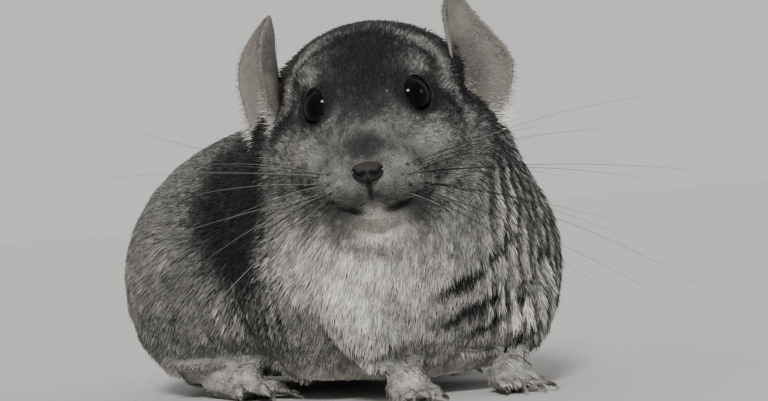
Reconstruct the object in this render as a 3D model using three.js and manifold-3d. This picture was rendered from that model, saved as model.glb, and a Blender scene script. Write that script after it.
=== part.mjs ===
// A life-size standard grey chinchilla, crouched on all four feet with its head raised and turned
// to its own right. Millimetres, +Z up, the body facing -Y and the animal's left side at +X.
import * as THREE from "three";
import { mergeVertices } from "three/addons/utils/BufferGeometryUtils.js";
import Module from "manifold-3d";

const wasm = await Module();
wasm.setup();

// Driving dimensions, measured to the outside of the coat
const BODY_LENGTH = 204;
const BODY_WIDTH = 114;
const BACK_HEIGHT = 105;
const BELLY_HEIGHT = 3;
const HEAD_HALF_WIDTH = 31.5;
const EYE_HEIGHT = 103;
const EYE_RADIUS = 7.2;
const EAR_LENGTH = 52;
const EAR_WIDTH = 36;
const EAR_THICKNESS = 1.8;
const TAIL_LENGTH = 150;
const WHISKER_LENGTH = 98;
const GAP = 0.3; // between parts that touch
const SEAT_GAP = 0.6; // round the head and ears, whose seats are cut by plainer forms

// Pose: angles in degrees about +Z are negative towards the animal's right
const HEAD_TURN = -40;
const HEAD_TILT = -2.3;
const CHEST_TURN = -17;
const HEAD_FROM_SHOULDERS = [-36, -36];

const rad = THREE.MathUtils.degToRad;
const smoothstep = THREE.MathUtils.smoothstep;
const vec = (x, y, z) => new THREE.Vector3(x, y, z);
const sides = [
  ["left", 1],
  ["right", -1],
];

function seeded(seed) {
  let state = seed;
  return () => {
    state = (state * 16807) % 2147483647;
    return state / 2147483647;
  };
}

// Smooth blends of ellipsoids and cones

// A point in body shares: half widths across, lengths backwards and back heights up
const inBody = (x, y, z) => vec((x * BODY_WIDTH) / 2, y * BODY_LENGTH, z * BACK_HEIGHT);

const ellipsoid = (centre, size, turn = 0) => ({ centre, size, turn: rad(turn) });

function ellipsoidDistance({ centre, size, turn }, p) {
  const dx = p.x - centre.x;
  const dy = p.y - centre.y;
  const x = dx * Math.cos(turn) + dy * Math.sin(turn);
  const y = dy * Math.cos(turn) - dx * Math.sin(turn);
  const z = p.z - centre.z;
  const scaled = Math.hypot(x / size.x, y / size.y, z / size.z);
  const slope = Math.hypot(x / size.x ** 2, y / size.y ** 2, z / size.z ** 2);
  return slope < 1e-9 ? -Math.min(size.x, size.y, size.z) : (scaled * (scaled - 1)) / slope;
}

const cone = (from, to, r1, r2) => ({ from, to, r1, r2 });

function coneDistance({ from, to, r1, r2 }, p) {
  const along = to.clone().sub(from);
  const t = THREE.MathUtils.clamp(p.clone().sub(from).dot(along) / along.lengthSq(), 0, 1);
  return p.distanceTo(from.clone().addScaledVector(along, t)) - THREE.MathUtils.lerp(r1, r2, t);
}

const formDistance = (form, p) => (form.size ? ellipsoidDistance(form, p) : coneDistance(form, p));

function smoothMin(a, b, k) {
  const h = Math.max(k - Math.abs(a - b), 0) / k;
  return Math.min(a, b) - (h * h * k) / 4;
}

// The distance to a blend of [form, softness] pairs
const blend = (forms) => (p) =>
  forms.reduce((d, [form, softness]) => smoothMin(d, formDistance(form, p), softness), 1e3);

// Geometry and solids

function bare(geometry) {
  const plain = geometry.clone();
  plain.deleteAttribute("normal");
  plain.deleteAttribute("uv");
  return mergeVertices(plain, 1e-5);
}

function reshape(geometry, move) {
  const position = geometry.attributes.position;
  const p = new THREE.Vector3();
  for (let i = 0; i < position.count; i++) {
    p.fromBufferAttribute(position, i);
    move(p);
    position.setXYZ(i, p.x, p.y, p.z);
  }
  return geometry;
}

// Draws directions together towards an axis, so that triangles are finest there
function gather(ray, axis, share) {
  const angle = ray.angleTo(axis);
  const turnBy = share * Math.sin(angle);
  const hinge = ray.clone().cross(axis);
  if (hinge.lengthSq() > 1e-12) ray.applyAxisAngle(hinge.normalize(), turnBy);
}

// How far along a ray the field's outermost surface lies
function surfaceAlong(field, centre, ray, reach, swell = 0) {
  const step = 2;
  const at = (t) => field(centre.clone().addScaledVector(ray, t)) - swell;
  let outer = reach;
  while (outer > step && at(outer - step) > 0) outer -= step;
  let inner = outer - step;
  for (let i = 0; i < 16; i++) {
    const middle = (inner + outer) / 2;
    if (at(middle) > 0) outer = middle;
    else inner = middle;
  }
  return inner;
}

// A ball of triangles round centre whose vertices lie on the field's surface, or swell outside it
function sculpt(field, centre, detail, { swell = 0, focus = null, share = 0 } = {}) {
  const reach = 170;
  return reshape(bare(new THREE.IcosahedronGeometry(1, detail)), (ray) => {
    ray.normalize();
    if (focus) gather(ray, focus, share);
    ray.multiplyScalar(surfaceAlong(field, centre, ray, reach, swell)).add(centre);
  });
}

const ball = (centre, size, detail) =>
  reshape(bare(new THREE.IcosahedronGeometry(1, detail)), (p) => p.multiply(size).add(centre));

// A closed tube along a curve; section(t) gives [half width, half thickness, across]
function loft(curve, steps, facets, section) {
  const points = [];
  const frames = curve.computeFrenetFrames(steps, false);
  for (let i = 0; i <= steps; i++) {
    const t = i / steps;
    const centre = curve.getPointAt(t);
    const [width, thickness, across] = section(t);
    const u = across ? across.clone() : frames.normals[i].clone();
    u.addScaledVector(frames.tangents[i], -u.dot(frames.tangents[i])).normalize();
    const v = frames.tangents[i].clone().cross(u);
    for (let j = 0; j < facets; j++) {
      const a = (2 * Math.PI * (j + 0.5)) / facets - Math.PI / 2;
      const [x, y] = [width * Math.cos(a), thickness * Math.sin(a)];
      points.push(centre.clone().addScaledVector(u, x).addScaledVector(v, y));
    }
  }
  points.push(curve.getPointAt(0), curve.getPointAt(1));
  const [first, last] = [points.length - 2, points.length - 1];
  const faces = [];
  for (let j = 0; j < facets; j++) {
    const k = (j + 1) % facets;
    faces.push(first, k, j);
    for (let i = 0; i < steps; i++) {
      const [a, b] = [i * facets + j, i * facets + k];
      faces.push(a, b, a + facets, b, b + facets, a + facets);
    }
    faces.push(last, steps * facets + j, steps * facets + k);
  }
  const geometry = new THREE.BufferGeometry().setFromPoints(points);
  geometry.setIndex(faces);
  return geometry;
}

// A hair or lock that tapers to a point, its three-sided section flat towards what it lies on
function strand(points, halfWidth, halfThickness, across, steps) {
  const curve = new THREE.CatmullRomCurve3(points);
  const widthAt = (t) => halfWidth * Math.max(0.12, 1 - t ** 2);
  const thicknessAt = (t) => halfThickness * (1 - 0.6 * t);
  return solid(loft(curve, steps, 3, (t) => [widthAt(t), thicknessAt(t), across]));
}

// A tube with rounded ends between the radii given along its points
function limb(points, radii, facets = 12, steps = 10) {
  const line = new THREE.CatmullRomCurve3(points);
  return loft(line, steps, facets, (t) => {
    const place = t * (radii.length - 1);
    const i = Math.min(Math.floor(place), radii.length - 2);
    const radius = THREE.MathUtils.lerp(radii[i], radii[i + 1], place - i);
    const cap = Math.sqrt(Math.max(0.04, 1 - Math.max(0, Math.abs(2 * t - 1) * 4 - 3) ** 2));
    return [radius * cap, radius * cap];
  });
}

function solid(geometry) {
  const vertProperties = new Float32Array(geometry.attributes.position.array);
  const triVerts = new Uint32Array(geometry.index.array);
  return new wasm.Manifold(new wasm.Mesh({ numProp: 3, vertProperties, triVerts }));
}

const largest = (s) => s.decompose().reduce((a, b) => (b.volume() > a.volume() ? b : a));
const joined = (solids) => solids.reduce((a, b) => a.add(b));
const without = (s, ...others) => others.reduce((a, b) => a.subtract(b), s);

function mesh(name, s, material) {
  const { numProp, vertProperties, triVerts } = largest(s).getMesh();
  const position = new Float32Array((vertProperties.length / numProp) * 3);
  for (let i = 0; i < position.length / 3; i++)
    position.set(vertProperties.subarray(i * numProp, i * numProp + 3), i * 3);
  const geometry = new THREE.BufferGeometry();
  geometry.setAttribute("position", new THREE.BufferAttribute(position, 3));
  geometry.setIndex(new THREE.BufferAttribute(triVerts, 1));
  const made = new THREE.Mesh(geometry, material);
  made.name = name;
  return made;
}

// Materials

const finish = (color, roughness) =>
  new THREE.MeshStandardMaterial({ color, roughness, metalness: 0 });
const greyCoat = finish(0x6d6c69, 0.9);
const paleCoat = finish(0xb9b5ac, 0.9);
const darkCoat = finish(0x3b3a38, 0.9);
const earSkin = finish(0x857b75, 0.7);
const eyeGloss = finish(0x0b0908, 0.08);

// Trunk: one smooth form from chest to rump, later parted into neck, shoulders, thighs and torso

const chestForward = vec(Math.sin(rad(CHEST_TURN)), -Math.cos(rad(CHEST_TURN)), 0);
const chestLeft = vec(Math.cos(rad(CHEST_TURN)), Math.sin(rad(CHEST_TURN)), 0);

// A point by the chest's own directions, from the middle of the shoulders at floor level
const fromChest = (forward, left, up) =>
  vec(0, 0, up).addScaledVector(chestForward, forward).addScaledVector(chestLeft, left);

const rump = ellipsoid(inBody(0, 0.461, 0.47), inBody(0.97, 0.265, 0.48));
const loin = ellipsoid(inBody(0.02, 0.24, 0.5), inBody(0.93, 0.28, 0.5));
const thorax = ellipsoid(inBody(0, 0, 0.45), inBody(0.9, 0.255, 0.48), CHEST_TURN);
const chest = ellipsoid(fromChest(21, 0, 49), inBody(0.78, 0.185, 0.39), CHEST_TURN);
const throat = ellipsoid(fromChest(18, -9, 82), vec(40, 34, 26), CHEST_TURN);
const nape = ellipsoid(inBody(-0.16, 0.0, 0.84), vec(42, 40, 30));

const shoulder = (side) => ellipsoid(fromChest(3, side * 37, 41), vec(19, 29, 36), CHEST_TURN);
const haunch = (side) => ellipsoid(inBody(side * 0.66, 0.42, 0.37), vec(22, 41, 38));

const trunkBlend = blend([
  [rump, 1],
  [loin, 26],
  [thorax, 24],
  [chest, 18],
  [throat, 20],
  [nape, 20],
  [shoulder(1), 12],
  [shoulder(-1), 12],
  [haunch(1), 9],
  [haunch(-1), 9],
]);
// The belly is flattened just clear of the floor
const trunkField = (p) => -smoothMin(-trunkBlend(p), p.z - BELLY_HEIGHT, 6);
const trunkCentre = inBody(0, 0.17, 0.5);

// Head, in its own frame: eyes level at the origin, facing -Y, crown at +Z

const headFrame = new THREE.Group();
headFrame.position.set(...HEAD_FROM_SHOULDERS, EYE_HEIGHT);
headFrame.rotation.set(0, rad(HEAD_TILT), rad(HEAD_TURN), "ZYX");
headFrame.updateMatrixWorld(true);
const intoHead = headFrame.matrixWorld.clone().invert();

const HEAD = HEAD_HALF_WIDTH;
const inHead = (x, y, z) => vec(x, y, z).multiplyScalar(HEAD);
const eyeFacing = (side) => vec(0.74 * side, -0.64, 0.14).normalize();
const eyeCentre = (side) => inHead(0.46 * side, 0.09, -0.01);
const NOSE_TIP = inHead(0, -0.82, -0.72);

const cranium = ellipsoid(inHead(0, 0.84, -0.04), inHead(0.98, 0.95, 0.93));
const crown = ellipsoid(inHead(0, 1.0, 0.28), inHead(1.06, 0.62, 0.66));
const bridge = cone(inHead(0, 0.42, -0.12), inHead(0, -0.47, -0.64), 0.6 * HEAD, 0.34 * HEAD);
const jaw = ellipsoid(inHead(0, 0.2, -0.9), inHead(0.74, 0.7, 0.4));
const chin = ellipsoid(inHead(0, -0.36, -1.13), inHead(0.26, 0.28, 0.16));
const nosePad = ellipsoid(inHead(0, -0.75, -0.755), inHead(0.17, 0.1, 0.11));
const cheek = (side) => ellipsoid(inHead(0.53 * side, 0.54, -0.6), inHead(0.58, 0.72, 0.54));
const temple = (side) => ellipsoid(inHead(0.6 * side, 0.76, -0.28), inHead(0.42, 0.44, 0.4));
const brow = (side) => ellipsoid(inHead(0.44 * side, 0.3, 0.32), inHead(0.26, 0.26, 0.18));
const lip = ellipsoid(inHead(0, -0.55, -0.9), inHead(0.2, 0.26, 0.17));
const pad = (side) => ellipsoid(inHead(0.3 * side, -0.49, -0.87), inHead(0.31, 0.36, 0.28));

const headField = blend([
  [cranium, 1],
  [crown, 9],
  [jaw, 12],
  [cheek(1), 9],
  [cheek(-1), 9],
  [bridge, 8],
  [temple(1), 6],
  [temple(-1), 6],
  [brow(1), 6],
  [brow(-1), 6],
  [lip, 3],
  [chin, 3],
  [pad(1), 5],
  [pad(-1), 5],
  [nosePad, 1.5],
]);

const headCentre = inHead(0, 0.3, -0.25);
const headShape = { focus: NOSE_TIP.clone().sub(headCentre).normalize(), share: 0.5 };
const headWhole = solid(sculpt(headField, headCentre, 10, headShape));
const headSeat = solid(sculpt(headField, headCentre, 6, { swell: SEAT_GAP }));

// Lids: a raised almond ring round each eye, lower at its outer corner
const LID_RADIUS = 6.5;
const LID_THICKNESS = 1.5;
const LID_STANDOFF = 3.5; // from the middle of the eye

function lid(side) {
  const ring = bare(new THREE.TorusGeometry(LID_RADIUS, LID_THICKNESS, 6, 18));
  const facing = eyeFacing(side);
  const outwards = vec(side, 0.9, -0.75).projectOnPlane(facing).normalize();
  const upwards = facing.clone().cross(outwards).multiplyScalar(side);
  const frame = new THREE.Matrix4().makeBasis(outwards, upwards, outwards.clone().cross(upwards));
  reshape(ring, (p) => {
    const towardsCorner = Math.max(0, p.x) / LID_RADIUS;
    p.y *= 0.98 - 0.2 * towardsCorner ** 2;
    p.x *= 1.05;
  });
  ring.applyMatrix4(frame);
  return reshape(ring, (p) => p.add(eyeCentre(side)).addScaledVector(facing, LID_STANDOFF));
}

const socket = (side) => ball(eyeCentre(side), vec(1, 1, 1).multiplyScalar(EYE_RADIUS + GAP), 3);
const eyeball = (side) => ball(eyeCentre(side), vec(1, 1, 1).multiplyScalar(EYE_RADIUS), 2);

const NOSTRIL_RADII = [0.7, 1.1, 0.8];
const GROOVE_RADIUS = 0.7;

function nostril(side) {
  const line = [
    inHead(0.045 * side, -0.85, -0.8),
    inHead(0.1 * side, -0.83, -0.79),
    inHead(0.14 * side, -0.77, -0.74),
  ];
  return solid(limb(line, NOSTRIL_RADII, 6, 4));
}

const groove = (line) => solid(limb(line, [GROOVE_RADIUS, GROOVE_RADIUS], 6, 8));
const philtrum = groove([
  inHead(0, -0.86, -0.81),
  inHead(0, -0.83, -0.9),
  inHead(0, -0.75, -1.05),
]);
const mouthLine = groove([
  inHead(-0.34, -0.4, -1.13),
  inHead(-0.18, -0.64, -1.09),
  inHead(0, -0.7, -1.03),
  inHead(0.18, -0.64, -1.09),
  inHead(0.34, -0.4, -1.13),
]);

// Whisker pads, parted from the muzzle by an egg-shaped cut
const padCut = (side, swell) =>
  ball(inHead(0.52 * side, -0.69, -0.9), inHead(0.38, 0.5, 0.34).addScalar(swell), 2);

const face = without(
  joined([headWhole, ...sides.map(([, side]) => solid(lid(side)))]),
  ...sides.flatMap(([, side]) => [solid(socket(side)), nostril(side), solid(padCut(side, GAP))]),
  philtrum,
  mouthLine,
);

// Whiskers: rows of long hairs fanning out from each pad, the rear ones longest
const WHISKERS_A_ROW = [3, 4, 3];
const WHISKER_RADIUS = 0.42;
const WHISKER_SUNK = 2.5;
const PAD_REACH = 25; // more than a pad is thick
const random = seeded(11);

// One whisker: down is its row's share from the top one, rearward its share from the nose
function whisker(side, down, rearward) {
  const leaving = rad(38 + 40 * rearward + 4 * random());
  const drop = rad(-9 + 30 * down + 9 * random());
  const outwards = side * Math.sin(leaving) * Math.cos(drop);
  const forwards = Math.cos(leaving) * Math.cos(drop);
  const aim = vec(outwards, -forwards, -Math.sin(drop));
  const inside = inHead(0.34 * side, -0.62 + 0.3 * rearward, -0.72 - 0.26 * down);
  const rootDepth = surfaceAlong(headField, inside, aim, PAD_REACH) - WHISKER_SUNK;
  const root = inside.addScaledVector(aim, rootDepth);
  const share = (0.66 + 0.32 * rearward) * (1 - 0.12 * down) * (0.93 + 0.07 * random());
  const length = WHISKER_LENGTH * share;
  const sag = vec(0, 0.22 * length, -length * (0.06 + 0.1 * down));
  const at = (t) => root.clone().addScaledVector(aim, length * t).addScaledVector(sag, t ** 2);
  return strand([at(0), at(0.35), at(0.7), at(1)], WHISKER_RADIUS, WHISKER_RADIUS, null, 5);
}

const whiskers = (side) =>
  WHISKERS_A_ROW.flatMap((count, row) =>
    Array.from({ length: count }, (_, column) => whisker(side, row / 2, column / (count - 1))),
  );

const parts = new THREE.Group();
parts.add(headFrame);
headFrame.add(mesh("head", face, greyCoat));
for (const [name, side] of sides) {
  headFrame.add(mesh(`eye_${name}`, solid(eyeball(side)), eyeGloss));
  const whiskerPad = without(headWhole.intersect(solid(padCut(side, 0))), mouthLine);
  headFrame.add(mesh(`whisker_pad_${name}`, joined([whiskerPad, ...whiskers(side)]), paleCoat));
}

// Ears: a rounded leaf rolled into a cup that opens forwards and outwards

const EAR_MIDDLE = inHead(1.07, 1.1, 0.34);
const EAR_LEAN = vec(0.1, 0.12, 0.99).normalize();
const EAR_SWIVEL = { left: -46, right: -24 }; // the way each cup opens, from straight out to the side
const EAR_TIP_BEND = { left: 6, right: 4 }; // of the tips, towards the crown
const EAR_TIP_WIDTH = { left: 0.6, right: 1.3 }; // as a share of the width at the middle
const EAR_CURL = [12, 17]; // radius of the cup at its foot and at its tip
const EAR_FOOT_BEND = 3;
const EAR_FLARE = 3; // of the foot and the tip, forwards

function ear(name, side) {
  const facing = rad(EAR_SWIVEL[name]);
  const opening = vec(Math.cos(facing), Math.sin(facing), 0).projectOnPlane(EAR_LEAN).normalize();
  const back = EAR_LEAN.clone().cross(opening).normalize();
  // s runs across the leaf and t from its foot to its tip, both from -1 to 1
  const leaf = (s, t) => {
    const narrowing = THREE.MathUtils.lerp(1, EAR_TIP_WIDTH[name], smoothstep(t, -0.1, 1));
    const width = (EAR_WIDTH / 2) * narrowing;
    const radius = THREE.MathUtils.lerp(...EAR_CURL, (t + 1) / 2);
    const angle = (s * width) / radius;
    const bend = EAR_TIP_BEND[name] * smoothstep(t, 0, 1) + EAR_FOOT_BEND * smoothstep(-t, 0.3, 1);
    return EAR_MIDDLE.clone()
      .addScaledVector(EAR_LEAN, (t * EAR_LENGTH) / 2)
      .addScaledVector(opening, radius * (1 - Math.cos(angle)) + EAR_FLARE * t * t)
      .addScaledVector(back, radius * Math.sin(angle))
      .add(vec(-bend, 0, 0));
  };
  const step = 0.01;
  const shaped = reshape(bare(new THREE.IcosahedronGeometry(1, 4)), (p) => {
    const across = leaf(p.x + step, p.y).sub(leaf(p.x - step, p.y));
    const along = leaf(p.x, p.y + step).sub(leaf(p.x, p.y - step));
    const normal = across.cross(along).normalize();
    p.copy(leaf(p.x, p.y).addScaledVector(normal, (p.z * EAR_THICKNESS) / 2));
  });
  if (side < 0) {
    reshape(shaped, (p) => (p.x = -p.x));
    shaped.index.array.reverse();
  }
  return solid(shaped);
}

// A slab whose top is the floor, and that reaches past the tail and whiskers on every side
const SLAB_SIDE = 600;
const SLAB_DEPTH = 50;
const underFloor = solid(
  bare(new THREE.BoxGeometry(SLAB_SIDE, SLAB_SIDE, SLAB_DEPTH)).translate(0, 0, -SLAB_DEPTH / 2),
);

// Feet: a palm with toes, flat on the floor, and a short claw on each toe

const palmOf = ({ heel, ball: front, palm }, swell) => {
  const arch = heel.clone().lerp(front, 0.5);
  return solid(limb([heel, arch, front], palm.map((radius) => radius + swell), 8, 5));
};

const TOE_RISE = 1.8; // of the knuckles, above toes that lie flat
const TOE_PRESSED = 0.3; // how far the toe tips are flattened on the floor
const CLAW_LENGTH = 2.2;
const CLAW_HEIGHT = 0.9;
const CLAW_RADII = [0.9, 0.7, 0.35];

function foot({ heel, ball: front, turn, palm, toes, toeLength, toeRadius }) {
  const forward = vec(Math.sin(rad(turn)), -Math.cos(rad(turn)), 0);
  const across = vec(Math.cos(rad(turn)), Math.sin(rad(turn)), 0);
  const pieces = [palmOf({ heel, ball: front, palm }, 0)];
  const toeRadii = [toeRadius, toeRadius * 1.05, toeRadius * 0.9];
  const sunk = 3.2 * toeRadius;
  for (let i = 0; i < toes; i++) {
    const share = i / (toes - 1) - 0.5;
    const out = forward.clone().addScaledVector(across, 0.7 * share).normalize();
    const spread = share * 1.2 * (palm.at(-1) - toeRadius * 0.7);
    const length = sunk + toeLength * (1 - 0.9 * share * share);
    const root = front.clone().addScaledVector(across, spread).addScaledVector(forward, -sunk);
    root.setZ(toeRadius + TOE_RISE);
    const knuckle = root.clone().addScaledVector(out, length * 0.6);
    const tip = root.clone().addScaledVector(out, length).setZ(toeRadius - TOE_PRESSED);
    const claw = tip.clone().addScaledVector(out, toeRadius + CLAW_LENGTH).setZ(CLAW_HEIGHT);
    pieces.push(solid(limb([root, knuckle, tip], toeRadii, 5, 3)));
    pieces.push(solid(limb([tip, tip.clone().lerp(claw, 0.6), claw], CLAW_RADII, 3, 2)));
  }
  return without(joined(pieces), underFloor);
}

// The room a foot takes in the coat above it
const footSeat = (shape, reach) => {
  const toward = shape.ball.clone().sub(shape.heel).setZ(0).normalize();
  const toes = shape.ball.clone().addScaledVector(toward, reach).setZ(0);
  const width = shape.palm.at(-1);
  return palmOf(shape, GAP).add(solid(limb([shape.ball, toes], [width + 1, width], 10, 3)));
};

const forefoot = (side) => ({
  heel: fromChest(43, side * 18.5, 6.5),
  ball: fromChest(55, side * 18.5, 5.6),
  turn: CHEST_TURN + side * 8,
  palm: [7.2, 7.6, 7.4],
  toes: 4,
  toeLength: 9,
  toeRadius: 2.5,
});

const hindfoot = (side) => ({
  heel: inBody(side * 0.66, 0.4, 0.068),
  ball: inBody(side * 0.76, 0.19, 0.06),
  turn: side * 10,
  palm: [7.5, 7.2, 8],
  toes: 3,
  toeLength: 14,
  toeRadius: 2.8,
});

// Forelegs: from the shoulder down to the wrist, through the coat
const FORELEG_RADII = [18, 15.5, 10];

function forearm(side, swell = 0) {
  const top = fromChest(24, side * 28, 54);
  const elbow = fromChest(36, side * 29, 32);
  const wrist = fromChest(45, side * 20, 11);
  return solid(limb([top, elbow, wrist], FORELEG_RADII.map((radius) => radius + swell), 12, 6));
}

// Tail: three lengths curling to the animal's left on the floor

const tailStart = inBody(0.07, 0.64, 0.28);
const tailPath = new THREE.CatmullRomCurve3(
  [
    [0, 0, 0],
    [0.03, 0.13, -0.08],
    [0.13, 0.27, -0.115],
    [0.31, 0.35, -0.118],
    [0.49, 0.33, -0.115],
    [0.64, 0.22, -0.1],
    [0.73, 0.07, -0.085],
  ].map((share) => tailStart.clone().addScaledVector(vec(...share), TAIL_LENGTH)),
);
const TAIL_CUTS = [0, 0.42, 0.7, 1];
const TAIL_ROWS = 8;
const LOCKS_A_ROW = 5;
const LOCK_LENGTH = 29;
const LOCK_HALF_WIDTH = 5.4;
const LOCK_HALF_THICKNESS = 1.5;
const LOCKS_SPREAD = 250; // degrees round the tail that the locks cover, the rest lies on the floor
const CORE_RADIUS = 8.5;

const tailCore = (t) => CORE_RADIUS * (1 - 0.35 * t) * Math.sqrt(Math.max(0.05, 1 - t ** 8));

function tail(swell = 0) {
  const level = (t) => vec(0, 0, 1).cross(tailPath.getTangentAt(t));
  const radius = (t) => tailCore(t) + swell;
  return solid(loft(tailPath, 15, 9, (t) => [radius(t), radius(t), level(t)]));
}

// One flat lock that leaves the core at t along the tail and around it, and bends back along it
function tailLock(t, around) {
  const along = tailPath.getTangentAt(t);
  const level = vec(0, 0, 1).cross(along).normalize();
  const up = along.clone().cross(level);
  const out = up.multiplyScalar(Math.cos(around)).addScaledVector(level, Math.sin(around));
  const across = along.clone().cross(out);
  const length = LOCK_LENGTH * (0.85 + 0.3 * random()) * (0.8 + 0.35 * t);
  const rise = rad(30 + 8 * random());
  const lean = 0.3 * (random() - 0.5);
  const lower = along.clone().multiplyScalar(Math.cos(rise)).addScaledVector(out, Math.sin(rise));
  const upper = along.clone().addScaledVector(out, 0.16).addScaledVector(across, 2 * lean);
  const root = tailPath.getPointAt(t).addScaledVector(out, tailCore(t) * 0.45);
  const middle = root.clone().addScaledVector(lower, length / 2);
  const tip = middle.clone().addScaledVector(upper, length / 2);
  return strand([root, middle, tip], LOCK_HALF_WIDTH, LOCK_HALF_THICKNESS, across, 2);
}

// Staggered rows of locks over the tail's top and sides
function tailLocks() {
  const locks = [];
  for (let row = 0; row < TAIL_ROWS; row++) {
    const t = THREE.MathUtils.lerp(0.14, 0.97, row / (TAIL_ROWS - 1));
    for (let i = 0; i < LOCKS_A_ROW; i++) {
      const place = (i + (row % 2 ? 0.75 : 0.25)) / LOCKS_A_ROW - 0.5;
      locks.push(tailLock(t, rad(LOCKS_SPREAD * place)));
    }
  }
  return locks;
}

// The block beyond a cut across the tail, on the side that sign gives
function pastCut(t, sign) {
  const side = 120;
  const centre = tailPath.getPointAt(t);
  const along = tailPath.getTangentAt(t).multiplyScalar(sign);
  const block = bare(new THREE.BoxGeometry(side, side, side)).translate(0, 0, (side - GAP) / 2);
  block.applyQuaternion(new THREE.Quaternion().setFromUnitVectors(vec(0, 0, 1), along));
  return solid(block.translate(centre.x, centre.y, centre.z));
}

// What to take off to leave only the tail between two cuts
const beyond = (from, to) => [
  ...(from > 0 ? [pastCut(from, -1)] : []),
  ...(to < 1 ? [pastCut(to, 1)] : []),
];

// Cuts and seats: every part is cut clear of what it meets

const headInWorld = headSeat.transform(headFrame.matrixWorld.elements);
const trunkSwollen = solid(sculpt(trunkField, trunkCentre, 7, { swell: SEAT_GAP }));
const trunkSolid = solid(sculpt(trunkField, trunkCentre, 8));
const HIND_TOES_REACH = 15;
const limbSeats = (side) => [
  forearm(side, GAP),
  footSeat(forefoot(side), 0),
  footSeat(hindfoot(side), HIND_TOES_REACH),
];
const trunkWhole = without(
  trunkSolid,
  headInWorld,
  ...sides.flatMap(([, side]) => limbSeats(side)),
  tail(GAP),
);

const neckCut = (swell) => ball(vec(-9, -15, 96), vec(64, 54, 33).addScalar(swell), 3);
const shoulderCut = (side, swell) =>
  ball(fromChest(6, side * 66, 36), vec(42, 31, 40).addScalar(swell), 3);
const thighCut = (side, swell) =>
  ball(inBody(side * 1.2, 0.42, 0.3), vec(48, 46, 46).addScalar(swell), 3);

const neck = trunkWhole.intersect(solid(neckCut(0)));
const neckAndHead = headInWorld.add(solid(neckCut(GAP)));
parts.add(mesh("neck", neck, greyCoat));
const belowNeck = trunkWhole.subtract(solid(neckCut(GAP)));
for (const [name, side] of sides) {
  const shoulderPiece = largest(trunkSolid.intersect(solid(shoulderCut(side, 0))));
  const leg = without(forearm(side).add(shoulderPiece), palmOf(forefoot(side), GAP), neckAndHead);
  parts.add(mesh(`foreleg_${name}`, leg, greyCoat));
  parts.add(mesh(`hindleg_${name}`, belowNeck.intersect(solid(thighCut(side, 0))), greyCoat));
  parts.add(mesh(`forefoot_${name}`, foot(forefoot(side)), paleCoat));
  parts.add(mesh(`hindfoot_${name}`, foot(hindfoot(side)), paleCoat));
  const earClear = without(ear(name, side), headSeat, trunkSwollen.transform(intoHead.elements));
  headFrame.add(mesh(`ear_${name}`, earClear, earSkin));
}
const torso = without(
  belowNeck,
  ...sides.flatMap(([, side]) => [solid(shoulderCut(side, GAP)), solid(thighCut(side, GAP))]),
);
parts.add(mesh("torso", torso, greyCoat));

const tailBrush = without(tail().add(joined(tailLocks()).subtract(trunkSwollen)), underFloor);
["tail_base", "tail_middle", "tail_tip"].forEach((name, i) => {
  const piece = without(tailBrush, ...beyond(TAIL_CUTS[i], TAIL_CUTS[i + 1]));
  parts.add(mesh(name, piece, darkCoat));
});

// The part's origin is the middle of its base
const box = new THREE.Box3().setFromObject(parts, true);
const middle = box.getCenter(new THREE.Vector3());
parts.position.set(-middle.x, -middle.y, -box.min.z);

export default parts;
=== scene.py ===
"""A life-size standard grey chinchilla: skin, banded coat, eyes, ears, nose, whiskers and claws
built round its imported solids. Lengths in the code are metres unless a name says otherwise."""
import math

import bmesh
import bpy
import numpy as np
from mathutils import Matrix, Vector, kdtree


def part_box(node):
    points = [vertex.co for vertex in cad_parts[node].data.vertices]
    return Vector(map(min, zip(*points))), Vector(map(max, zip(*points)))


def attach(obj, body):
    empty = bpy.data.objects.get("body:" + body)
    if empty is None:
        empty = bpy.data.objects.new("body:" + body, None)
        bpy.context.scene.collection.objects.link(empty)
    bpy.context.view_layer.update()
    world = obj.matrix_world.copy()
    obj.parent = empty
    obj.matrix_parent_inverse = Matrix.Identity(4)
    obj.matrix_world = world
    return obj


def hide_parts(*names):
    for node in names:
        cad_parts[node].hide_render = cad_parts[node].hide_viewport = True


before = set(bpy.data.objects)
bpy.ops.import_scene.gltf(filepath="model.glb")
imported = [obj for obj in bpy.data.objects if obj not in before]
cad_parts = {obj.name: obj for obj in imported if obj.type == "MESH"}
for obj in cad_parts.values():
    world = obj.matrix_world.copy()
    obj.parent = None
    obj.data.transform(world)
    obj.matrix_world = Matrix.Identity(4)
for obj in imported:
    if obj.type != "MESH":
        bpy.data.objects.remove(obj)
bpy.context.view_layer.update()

bl_info = {
    "name": "Chinchilla",
    "version": (1, 0, 0),
    "blender": (4, 5, 0),
    "location": "View3D > Sidebar > Chinchilla",
    "description": "Dresses the solids of a standard grey chinchilla with skin, coat and eyes",
    "category": "Object",
}

MM = 0.001
SIDES = (("left", 1), ("right", -1))

# Places on the animal, read from the solids. Head places are shares of half the head's width,
# from just ahead of the middle between the eyes: x to its left, y back, z up. Body places are millimetres
# from the ground under the shoulders, along the frame's own axes.


def node_middle(name):
    low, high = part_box(name)
    return np.array((low + high) / 2)


def unit(v):
    return v / np.linalg.norm(v, axis=-1, keepdims=True)


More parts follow.
